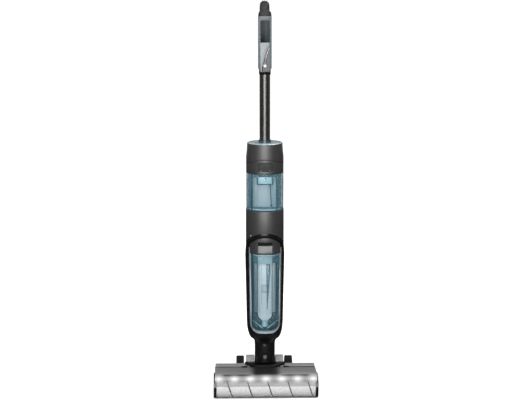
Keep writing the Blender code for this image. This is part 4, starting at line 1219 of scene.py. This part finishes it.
class SCRUBBER_OT_dirty_tank(bpy.types.Operator):
    """Dirty water tank, its cap, latch pad, riser, funnel and float"""
    bl_idname = "scrubber.dirty_tank"
    bl_label = "Dirty water tank"

    def execute(self, context):
        # the shell wears the painted-shade copy of the tank blue
        dress(refined("dirty_tank_shell", edge=0.0005, segments=3), "dirty_tank_shell", wear("tank_painted_shade"))
        # the cap wears the painted-shade copy of the body grey
        dress(refined("dirty_tank_cap", edge=0.0007, segments=3), "dirty_tank_cap", wear("body_low"))
        self.riser()
        self.funnel()
        self.rims()
        self.float()
        self.latch()
        return {"FINISHED"}

    def riser(self):
        """Wide duct up the back of the tank, a raised spine on it, and the chamber at its top."""
        node = "dirty_tank_riser"
        # the duct, its spine and its apron wear the painted-light copy of the inner plastic
        duct = refined(node, edge=0.0)
        dress(duct, node, wear("inner_painted_light"))
        near, far = BOX[node]
        front = 0.0090
        spine = plate("riser_spine", "XY", [(-0.0165, front + 0.0004), (-0.0150, front - 0.0016),
                                            (0.0030, front - 0.0022), (0.0046, front - 0.0006),
                                            (0.0120, front - 0.0006), (0.0136, front + 0.0004)],
                      near.z + 0.0010, 0.3580)
        dress(soften(spine, 0.0004, 3), node, wear("inner_painted_light"), instead=False)
        base = low("dirty_tank_shell").z
        slope = [(0.0075, base + 0.0270), (0.0180, near.z - 0.0060), (0.0200, near.z + 0.0016)]
        apron = plate("riser_apron", "XZ", [(-x, z) for x, z in reversed(slope)] + slope, front, front + 0.0030)
        dress(soften(apron, 0.0004, 3), node, wear("inner_painted_light"), instead=False)
        # painted shadow: a dark sheet laid over the duct where a V-shaped shadow falls down it
        shade_line = [(0.0056, near.z + 0.0160), (0.0072, near.z + 0.0150), (0.0150, 0.3400), (0.0142, 0.3570),
                      (0.0036, 0.3570), (0.0048, 0.3000)]
        painted_shadow = plate("riser_taper", "XZ", shade_line, front - 0.0028, front - 0.0004)
        dress(soften(painted_shadow, 0.0003, 2), node, wear("tank_mid"), instead=False)
        side_wall = plate("riser_side_wall", "XY", [(0.0206, front + 0.0030), (0.0262, front + 0.0022),
                                                    (0.0268, front + 0.0034), (0.0310, front + 0.0040),
                                                    (0.0310, far.y - 0.0030), (0.0206, far.y - 0.0030)],
                          near.z + 0.0060, RISER_TOP)
        dress(soften(side_wall, 0.0004, 2), node, wear("inner"), instead=False)
        for index, (x, y) in enumerate(((-0.0352, 0.0100), (-0.0300, 0.0180), (-0.0246, 0.0200), (0.0350, 0.0120))):
            streak = block(f"tank_inner_rib_{index + 1}", (x - 0.0007, y, near.z + 0.0100),
                           (x + 0.0007, y + 0.0100, RISER_TOP), 0.0003)
            dress(streak, "dirty_tank_shell", wear("tank_mid"), instead=False)
        # painted shade: the left wall wears the darkened copy of the inner plastic
        left_wall = block("riser_left_wall", (-0.0310, front + 0.0024, near.z + 0.0060),
                          (-0.0206, front + 0.0060, RISER_TOP), 0.0012, 3)
        dress(left_wall, node, wear("inner_painted_shade"), instead=False)
        for side, word in ((-1, "left"), (1, "right")):
            start, end = sorted((side * 0.0330, side * 0.0392))
            panel = block("tank_side_shade_" + word, (start, 0.0020, near.z + 0.0060),
                          (end, 0.0060, RISER_TOP), 0.0010, 3)
            dress(panel, "dirty_tank_shell", wear("tank_shade"), instead=False)
        line = block("riser_seam", (-0.0100, front - 0.0020, near.z + 0.0300),
                     (-0.0094, front - 0.0012, RISER_TOP - 0.0040), 0.0003)
        dress(line, node, wear("tank_thick"), instead=False)
        band = block("riser_chamber_face", (near.x + 0.0022, near.y - 0.0012, RISER_TOP + 0.0022),
                     (far.x - 0.0022, near.y + 0.0008, RISER_TOP + 0.0232), 0.0006, 3)
        dress(band, node, wear("inner_cyan"), instead=False)
        wings = block("riser_chamber_wings", (-0.0398, near.y + 0.0040, RISER_TOP + 0.0030),
                      (0.0398, near.y + 0.0150, RISER_TOP + 0.0250), 0.0015, 3)
        dress(wings, node, wear("tank_mid"), instead=False)

    def funnel(self):
        """Sloped walls at the foot of the tank that meet over the inlet stub, with painted highlights along their top
        edges.
        """
        base = low("dirty_tank_shell").z
        for side, word in ((-1, "left"), (1, "right")):
            line = [(side * 0.0062, base + 0.0075), (side * 0.0360, base + 0.0320), (side * 0.0352, base + 0.0340),
                    (side * 0.0062, base + 0.0105)]
            wall = plate("tank_funnel_" + word, "XZ", line, -0.0120, 0.0340)
            dress(soften(wall, 0.0003, 2), "dirty_tank_shell", wear("tank_mid"), instead=False)
            # painted highlight: a pale rod along each wall's top edge
            edge = rod("tank_funnel_edge_" + word, (side * 0.0070, -0.0128, base + 0.0102),
                       (side * 0.0356, -0.0128, base + 0.0338), 0.0009, 16)
            dress(edge, "dirty_tank_shell", wear("inner_painted_light"), instead=False)
        stub = turned("tank_inlet_stub", [(0.0062, base + 0.0260), (0.0078, base + 0.0255), (0.0085, base + 0.0130),
                                          (0.0110, base + 0.0085), (0.0062, base + 0.0085)], 64, closed=False)
        dress(stub, "dirty_tank_shell", wear("inner_cyan"), instead=False)

    def rims(self):
        """Painted highlights: a pale bead round the window's clear edge and a pale rim just under the cap."""
        near, far = BOX["dirty_tank_shell"]
        # painted highlight: a pale bead round the window's clear edge
        bead = plate("tank_edge_bead", "XZ", window_outline(0.0028), -0.10, -0.0040)
        cut(bead, plate("inside", "XZ", window_outline(0.0046), -0.12, 0.02),
            block("above", (-0.1, -0.12, low("dirty_tank_cap").z - 0.0012), (0.1, 0.02, 0.60)))
        profile = [(BODY_Y - low("dirty_tank_cap").y - 0.0004, far.z), (0.0538, 0.3550), (0.0531, 0.3087),
                   (0.0518, 0.2505), (0.0502, 0.1922), (0.0492, 0.1760), (0.0472, near.z)]
        keep(bead, turned("envelope", [(r + 0.0004, z) for r, z in profile], 96))
        dress(soften(bead, 0.0003, 2), "dirty_tank_shell", wear("inner_painted_light"), instead=False)
        z = far.z - 0.0040
        # painted highlight: a pale rim just under the cap
        rim = turned("tank_top_rim", [(0.0516, z + 0.0010), (0.0520, z), (0.0516, z - 0.0010), (0.0490, z - 0.0010),
                                      (0.0490, z + 0.0010)], 96, closed=False)
        keep(rim, block("front", (-0.0385, -0.1, z - 0.01), (0.0385, 0.0, z + 0.01)))
        dress(rim, "dirty_tank_shell", wear("inner_painted_light"), instead=False)

    def float(self):
        """White float, a short turned cup, with a pale bar on its front as a painted highlight."""
        node = "tank_float"
        near, far = BOX[node]
        centre = middle(node)
        radius = (far.x - near.x) / 2
        line = [(radius - 0.0030, far.z), (radius - 0.0006, far.z - 0.0006), (radius, far.z - 0.0022),
                (radius, near.z + 0.0060), (radius - 0.0012, near.z + 0.0050), (radius - 0.0012, near.z + 0.0012),
                (radius - 0.0022, near.z)]
        dress(turned("tank_float_cup", line, 64, "Z", (centre.x, centre.y, 0.0)), node,
              wear("float_clear"))
        # painted highlight: a pale bar on the float's front
        painted_glint = block("tank_float_bar", (-0.0050, near.y - 0.0002, centre.z - 0.0010),
                     (0.0050, near.y + 0.0030, centre.z + 0.0008), 0.0004)
        dress(painted_glint, node, wear("inner_painted_light"), instead=False)

    def latch(self):
        """Textured pad, the slot above it lined dark as painted shade, and two small studs at its foot."""
        node = "dirty_tank_latch"
        near, far = BOX[node]
        dress(refined(node, edge=0.0008, segments=3), node, wear("pad"))
        radius = BODY_Y - near.y
        # painted shade: a black lining in the slot above the pad
        slot_shade = block("pad_slot_lining", (near.x - 0.0004, far.y - 0.0050, far.z - 0.0004),
                       (far.x + 0.0004, far.y + 0.0064, far.z + 0.0095), 0.0)
        cut(slot_shade, block("slot", (near.x + 0.0002, near.y - 0.01, far.z - 0.01), (far.x - 0.0002, far.y + 0.0060,
                                                                                 far.z + 0.0089)))
        dress(slot_shade, "dirty_tank_cap", wear("rubber"), instead=False)
        for index, x in enumerate((0.0035, 0.0105)):
            y = front_of(radius, x)
            stud = rod(f"pad_stud_{index + 1}", (x, y - 0.0004, near.z + 0.0022), (x, y + 0.0015, near.z + 0.0022),
                       0.0013, 20, 0.0003)
            dress(stud, node, wear("rubber"), instead=False)


# ---- tube and handle ----------------------------------------------------------------------------
LIP_EDGE = high("handle_fascia").x - 0.0015   # where the side rails' front lips end


class SCRUBBER_OT_tube(bpy.types.Operator):
    """Anodised tube between the body and the handle"""
    bl_idname = "scrubber.tube"
    bl_label = "Tube"

    def execute(self, context):
        near, far = BOX["tube"]
        radius = (far.x - near.x) / 2
        line = [(radius - 0.0004, far.z), (radius, far.z - 0.0004), (radius, near.z + 0.0004),
                (radius - 0.0004, near.z), (radius - 0.0014, near.z), (radius - 0.0014, far.z)]
        tube = turned("tube_wall", line, context.scene.scrubber_sizes.round_steps, closed=False)
        dress(tube, "tube", wear("tube"))
        return {"FINISHED"}


class SCRUBBER_OT_handle(bpy.types.Operator):
    """Front post with its plates, side rails and cleaning button"""
    bl_idname = "scrubber.handle"
    bl_label = "Handle front"

    def execute(self, context):
        sizes = context.scene.scrubber_sizes
        dress(refined("handle_post", edge=0.0004), "handle_post", wear("gloss_black"))
        for side, word in ((-1, "left"), (1, "right")):
            self.rail(side, word)
        self.front_plate(sizes)
        self.display()
        self.band()
        self.button()
        return {"FINISHED"}

    def rail(self, side, word):
        """Clear rail down the side of the post, with a lip that wraps round onto its front."""
        node = "side_rail_" + word
        near, far = BOX[node]
        inner, outer = sorted((abs(near.x), abs(far.x)))
        front = low("handle_post").y
        line = [(inner, far.y), (outer - 0.0004, far.y), (outer, far.y - 0.0006), (outer, front + 0.0030),
                (outer - 0.0008, front + 0.0008), (outer - 0.0026, front - 0.0008), (LIP_EDGE, front - 0.0014),
                (LIP_EDGE, front - 0.0004), (inner - 0.0006, front - 0.0004), (inner, front + 0.0004)]
        rail = plate(node + "_clear", "XY", [(side * x, y) for x, y in line], near.z, far.z)
        pick(rail, lambda place, _: place.z < near.z + 0.0001 and place.y < 0.004, "VERT")
        bpy.ops.transform.translate(value=(0, 0, 0.0030))
        leave()
        soften(rail, 0.0004, 3)
        dress(rail, node, wear("rail"))

    def front_plate(self, sizes):
        """Satin plate with a raised silver sweep that turns from the right shoulder to the left foot, a painted
        highlight beside its edge and a painted shadow between them.
        """
        node = "handle_fascia"
        near, far = BOX[node]
        half = LIP_EDGE + 0.0004
        top, base = far.z, near.z
        face = near.y + sizes.trim_proud
        back = plate("front_plate", "XZ", rounded_outline(half, (top - base) / 2, 0.0022,
                                                          (0.0, (top + base) / 2)), far.y, face)
        button = middle("clean_button")

        def bay(room):
            """Bar through the plate at the button, with some room round it."""
            return rod("bay", (0, -0.02, button.z), (0, 0.02, button.z), high("clean_button").x + room, 48)
        cut(back, bay(0.0005))
        dress(soften(back, 0.0005, 3), node, wear("silver_warm"))
        edge = [(half - 0.0006, top - 0.0012), (0.0112, top - 0.0105), (0.0072, top - 0.0190),
                (0.0030, top - 0.0290), (0.0000, top - 0.0385), (-0.0022, top - 0.0480),
                (-0.0046, top - 0.0570), (-0.0076, top - 0.0650), (-0.0084, top - 0.0720),
                (-0.0080, base + 0.0012)]
        edge = curve_points([(x, z, 0.0) for x, z in edge], 4)
        line = [(x, z) for x, z, _ in edge] + [(-half + 0.0006, base + 0.0012), (-half + 0.0004, top - 0.0014),
                                               (-half + 0.0018, top - 0.0004), (half - 0.0014, top - 0.0004)]
        sweep = plate("front_sweep", "XZ", line, face + 0.0003, near.y)
        dress(soften(sweep, 0.0005, 3), node, wear("silver"), instead=False)
        # painted highlight: a bright strip beside the sweep's edge
        within = half - 0.0042
        ridge = [(x + 0.0024, z) for x, z, _ in edge[2:32] if x < within]
        ridge = ridge + [(x + 0.0012, z) for x, z in reversed(ridge)]
        bead = plate("front_bead", "XZ", ridge, face + 0.0003, near.y + 0.0003)
        cut(bead, bay(0.0008))
        dress(soften(bead, 0.0002, 2), node, wear("silver_bright"), instead=False)
        # painted shadow: a dark strip between the sweep's edge and the painted highlight
        shadow_outline = [(x + 0.0002, z) for x, z, _ in edge[2:36] if x < within]
        shadow_outline = shadow_outline + [(x + 0.0018, z) for x, z in reversed(shadow_outline)]
        shadow = plate("front_gully", "XZ", shadow_outline, face + 0.0003, face - 0.0001)
        cut(shadow, bay(0.0008))
        dress(shadow, node, wear("rubber"), instead=False)

    def display(self):
        """Piano black panel, raised to a ridge down its middle."""
        node = "handle_panel"
        near, far = BOX[node]
        half = LIP_EDGE - 0.0002
        edge = [(0.0016, near.y + 0.0001), (half - 0.0008, near.y + 0.0010), (half, near.y + 0.0017),
                (half, far.y)]
        line = [(-x, y) for x, y in reversed(edge)] + edge
        panel = plate("display_panel", "XY", line, near.z, far.z)
        dress(soften(panel, 0.0003, 2), node, wear("screen"))

    def band(self):
        """Silver band across the top of the panel, slightly bowed."""
        node = "handle_band"
        near, far = BOX[node]
        half = LIP_EDGE + 0.0006
        bow = [(half * (1 - 2 * i / 12), near.y + 0.0009 * (1 - 2 * i / 12) ** 2) for i in range(13)]
        band = plate("top_band", "XY", [(-half, far.y), (half, far.y)] + bow, near.z, far.z)
        dress(soften(band, 0.0006, 3), node, wear("silver_dim"))

    def button(self):
        """Cleaning button: a dished key in a dark ring."""
        node = "clean_button"
        near, far = BOX[node]
        centre = middle(node)
        radius = (far.x - near.x) / 2
        line = [(radius * 0.35, near.y + 0.0007), (radius * 0.70, near.y + 0.0004), (radius * 0.86, near.y),
                (radius * 0.96, near.y + 0.0002), (radius, near.y + 0.0008), (radius, far.y)]
        dress(turned("clean_key", line, 64, "Y", (centre.x, 0, centre.z)), node, wear("silver_bright"))
        ring = turned("clean_key_ring", [(radius * 0.58, near.y), (radius * 0.58, near.y + 0.0009),
                                         (radius * 0.94, near.y + 0.0009), (radius * 0.94, near.y - 0.0001)],
                      64, "Y", (centre.x, 0, centre.z), closed=False)
        dress(ring, node, wear("gloss_black"), instead=False)


class SCRUBBER_OT_grip(bpy.types.Operator):
    """Rubber grip: a shoulder over the post that narrows into the round loop, and the power button"""
    bl_idname = "scrubber.grip"
    bl_label = "Grip"

    def execute(self, context):
        far = high("handle_grip")
        thick = far.x
        wide = high("side_rail_right").x - 0.0003
        seat = high("handle_band").z + 0.0004
        # (y, z, half width, half depth) of the sections over the shoulder
        shoulder = self.loft("grip_loop", [
            (0.0178, seat, wide - 0.0002, 0.0190), (0.0178, seat + 0.0025, wide, 0.0190),
            (0.0178, seat + 0.0056, wide - 0.0003, 0.0186), (0.0180, seat + 0.0080, wide - 0.0012, 0.0178),
            (0.0184, seat + 0.0098, wide - 0.0028, 0.0164), (0.0190, seat + 0.0110, thick + 0.0004, 0.0146),
            (0.0196, seat + 0.0130, thick - 0.0006, 0.0128)], 0.72)
        top = far.z - thick
        loop = [(0.0185, top - 0.0190), (0.0215, top - 0.0098), (0.0275, top - 0.0036), (0.0370, top - 0.0005),
                (0.0500, top), (0.0640, top - 0.0033), (0.0750, top - 0.0108),
                (0.0820, top - 0.0223), (0.0855, top - 0.0363), (far.y - thick, top - 0.0643),
                (0.0850, top - 0.0943), (0.0820, top - 0.1203), (0.0750, top - 0.1403),
                (0.0640, top - 0.1533), (0.0500, top - 0.1593), (0.0350, top - 0.1603)]
        fine = curve_points([(y, z, 0.0) for y, z in loop], 3)
        bar = self.loft("bar", [(y, z, thick, thick) for y, z, _ in fine], 0.80)
        grip = fuse(shoulder, bar)
        key_near, key_far = BOX["power_button"]
        cut(grip, block("bed", (key_near.x - 0.0006, key_near.y - 0.0006, key_near.z - 0.0020),
                        (key_far.x + 0.0006, key_far.y + 0.0006, key_far.z + 0.02), 0.0008))
        dress(grip, "handle_grip", wear("grip"), angle=45)
        key = block("power_key_cap", key_near, key_far, 0.0016, 4)
        dress(key, "power_button", wear("silver_bright"))
        return {"FINISHED"}

    def loft(self, name, stations, power):
        """Extrude a round-cornered section from station to station, turning and sizing it on the way."""
        count = 40
        y, z, half_x, half_y = stations[0]
        second = stations[1]
        lean = math.atan2(second[0] - y, second[1] - z)
        ring = []
        for index in range(count):
            turn = math.tau * index / count
            c, s = math.cos(turn), math.sin(turn)
            deep = half_y * math.copysign(abs(s) ** power, s)
            ring.append((half_x * math.copysign(abs(c) ** power, c), y + deep * math.cos(lean),
                         z - deep * math.sin(lean)))
        thing = draw(name, ring)
        edit(thing, "FACE")
        bpy.ops.mesh.select_all(action="SELECT")
        before = stations[0]
        for index, now in enumerate(stations[1:], 1):
            after = stations[min(index + 1, len(stations) - 1)]
            aim = math.atan2(after[0] - before[0], after[1] - before[1])
            if aim < lean - math.pi:
                aim += math.tau
            centre = Vector((0.0, now[0], now[1]))
            step = Vector((0.0, now[0] - before[0], now[1] - before[1]))
            bpy.ops.mesh.extrude_region_move(TRANSFORM_OT_translate={"value": step})
            turn_selected(-lean, centre)
            bpy.ops.transform.resize(value=(now[2] / before[2], now[3] / before[3], 1.0), center_override=centre)
            turn_selected(aim, centre)
            lean, before = aim, now
        leave()
        return tidy_mesh(thing)


def turn_selected(angle, centre):
    """Turn what is selected about the X axis through a point, from +Z towards +Y."""
    if abs(angle) > 1e-6:
        bpy.ops.transform.rotate(value=angle, orient_axis="X", center_override=centre)



# ---- stage --------------------------------------------------------------------------------------
class SCRUBBER_OT_stage(bpy.types.Operator):
    """Pale floor, soft studio light and the camera"""
    bl_idname = "scrubber.stage"
    bl_label = "Stage"

    def execute(self, context):
        self.floor()
        self.world()
        self.lights()
        self.camera()
        context.scene.view_settings.view_transform = "Standard"
        return {"FINISHED"}

    def floor(self):
        """Wide pale floor that fades to white, with a faint contact shadow."""
        deselect_all()
        bpy.ops.mesh.primitive_plane_add(size=120.0, location=(0, 0, low("squeegee").z))
        floor = settle(adopt("studio_floor"))
        made, tree, shader, place = begin("pale_floor")
        tint = tuple(bpy.context.scene.scrubber_colours.floor)
        slow = noise(tree, place, 3.0, 3.0)
        shader.inputs["Roughness"].default_value = 0.9
        glow = tree.nodes.new("ShaderNodeEmission")
        path = tree.nodes.new("ShaderNodeLightPath")
        both = tree.nodes.new("ShaderNodeAddShader")
        output = next(node for node in tree.nodes if node.type == "OUTPUT_MATERIAL")
        x, y, _ = axes(tree, place)
        out = calc(tree, "SQRT", calc(tree, "ADD", product(tree, x, x), product(tree, y, y)))
        fade = spread(tree, out, 0.25, 1.1, 0.60, 1.0, True)
        under = product(tree, spread(tree, calc(tree, "ABSOLUTE", x), ROLLER_HALF, 0.150, 1.0, 0.0, True),
                        spread(tree, y, ROLLER.y - 0.030, ROLLER.y - 0.012, 0.0, 0.92, True),
                        spread(tree, y, ROLLER.y + 0.020, ROLLER.y + 0.050, 1.0, 0.0, True))
        fade = calc(tree, "MULTIPLY", fade, calc(tree, "SUBTRACT", 1.0, under))
        plain = blend_colours(tree, slow, shade(tint, 0.99), shade(tint, 1.01))
        tree.links.new(blend_colours(tree, under, plain, shade(tint, 0.04)), shader.inputs["Base Color"])
        tree.links.new(calc(tree, "MULTIPLY", path.outputs["Is Camera Ray"], fade), glow.inputs["Strength"])
        tree.links.new(shader.outputs[0], both.inputs[0])
        tree.links.new(glow.outputs[0], both.inputs[1])
        unlit = tree.nodes.new("ShaderNodeBsdfDiffuse")
        unlit.inputs["Color"].default_value = (0.06, 0.06, 0.06, 1.0)
        seen = tree.nodes.new("ShaderNodeMixShader")
        tree.links.new(path.outputs["Is Camera Ray"], seen.inputs["Fac"])
        tree.links.new(unlit.outputs[0], seen.inputs[1])
        tree.links.new(both.outputs[0], seen.inputs[2])
        tree.links.new(seen.outputs[0], output.inputs["Surface"])
        floor.data.materials.append(made)

    def world(self):
        """White to look at, dim as a light."""
        world = bpy.data.worlds.new("studio")
        bpy.context.scene.world = world
        world.use_nodes = True
        tree = world.node_tree
        ground = next(node for node in tree.nodes if node.type == "BACKGROUND")
        path = tree.nodes.new("ShaderNodeLightPath")
        tree.links.new(spread(tree, path.outputs["Is Camera Ray"], 0.0, 1.0, 0.045, 1.0),
                       ground.inputs["Strength"])
        ground.inputs["Color"].default_value = (1.0, 1.0, 1.0, 1.0)

    def lights(self):
        """Big frontal softbox, a weaker one to each side, and one overhead."""
        aim_at = Vector((0.0, 0.0, 0.55))
        for name, place, size, size_y, power in (
                ("key_softbox", (-0.25, -3.2, 1.5), 2.3, 2.6, 138.0),
                ("left_strip", (-2.9, 0.3, 1.0), 0.4, 2.4, 3.0),
                ("right_strip", (2.9, 0.3, 1.0), 0.4, 2.4, 4.0),
                ("top_softbox", (0.0, -0.6, 3.2), 1.4, 1.4, 26.0),
                ("rear_left_softbox", (-1.9, 2.8, 1.3), 1.2, 2.2, 9.0),
                ("rear_right_softbox", (1.9, 2.8, 1.3), 1.2, 2.2, 9.0),
                ("low_softbox", (-0.2, -2.6, 0.20), 1.8, 0.3, 6.0),
                ("back_softbox", (0.8, 2.4, 3.4), 1.6, 1.2, 40.0)):
            deselect_all()
            bpy.ops.object.light_add(type="AREA", location=place)
            lamp = bpy.context.object
            lamp.name = lamp.data.name = name
            lamp.data.shape = "RECTANGLE"
            lamp.data.size = size
            lamp.data.size_y = size_y
            lamp.data.energy = power
            lamp.rotation_euler = (aim_at - Vector(place)).to_track_quat("-Z", "Y").to_euler()

    def camera(self):
        """Long lens from the front, a little above the machine."""
        target = Vector((0.0, 0.0, 0.5424))
        distance, lift, turn = 5.0, math.radians(10.0), math.radians(-1.5)
        place = target + distance * Vector((math.sin(turn) * math.cos(lift), -math.cos(turn) * math.cos(lift),
                                            math.sin(lift)))
        deselect_all()
        bpy.ops.object.camera_add(location=place)
        camera = bpy.context.object
        camera.name = camera.data.name = "studio_camera"
        camera.data.lens = 121.3
        camera.data.sensor_width = 36.0
        camera.data.dof.use_dof = False
        camera.rotation_euler = (target - place).to_track_quat("-Z", "Y").to_euler()
        bpy.context.scene.camera = camera


# ---- panel and registration ---------------------------------------------------------------------
PIECE_OPERATORS = (SCRUBBER_OT_head_base, SCRUBBER_OT_wheels, SCRUBBER_OT_roller, SCRUBBER_OT_cover,
                   SCRUBBER_OT_neck, SCRUBBER_OT_body, SCRUBBER_OT_clean_tank, SCRUBBER_OT_dirty_tank,
                   SCRUBBER_OT_tube, SCRUBBER_OT_handle, SCRUBBER_OT_grip, SCRUBBER_OT_stage)


class SCRUBBER_PT_builder(bpy.types.Panel):
    """Sizes, colours and one button per piece"""
    bl_idname = "SCRUBBER_PT_builder"
    bl_label = "Floor scrubber"
    bl_space_type = "VIEW_3D"
    bl_region_type = "UI"
    bl_category = "Scrubber"

    def draw(self, context):
        column = self.layout.column()
        for group in (context.scene.scrubber_sizes, context.scene.scrubber_colours):
            for name in type(group).__annotations__:
                column.prop(group, name)
        for operator in PIECE_OPERATORS:
            column.operator(operator.bl_idname)


CLASSES = (ScrubberSizes, ScrubberColours) + PIECE_OPERATORS + (SCRUBBER_PT_builder,)


def register():
    """Register the classes and hang the settings on the scene."""
    for each in CLASSES:
        bpy.utils.register_class(each)
    bpy.types.Scene.scrubber_sizes = bpy.props.PointerProperty(type=ScrubberSizes)
    bpy.types.Scene.scrubber_colours = bpy.props.PointerProperty(type=ScrubberColours)


def unregister():
    """Take the settings and the classes away again."""
    del bpy.types.Scene.scrubber_colours
    del bpy.types.Scene.scrubber_sizes
    for each in reversed(CLASSES):
        bpy.utils.unregister_class(each)


def main():
    """Build everything in order."""
    register()
    make_finishes()
    for operator in PIECE_OPERATORS:
        group, name = operator.bl_idname.split(".")
        getattr(getattr(bpy.ops, group), name)()


if __name__ == "__main__":
    main()
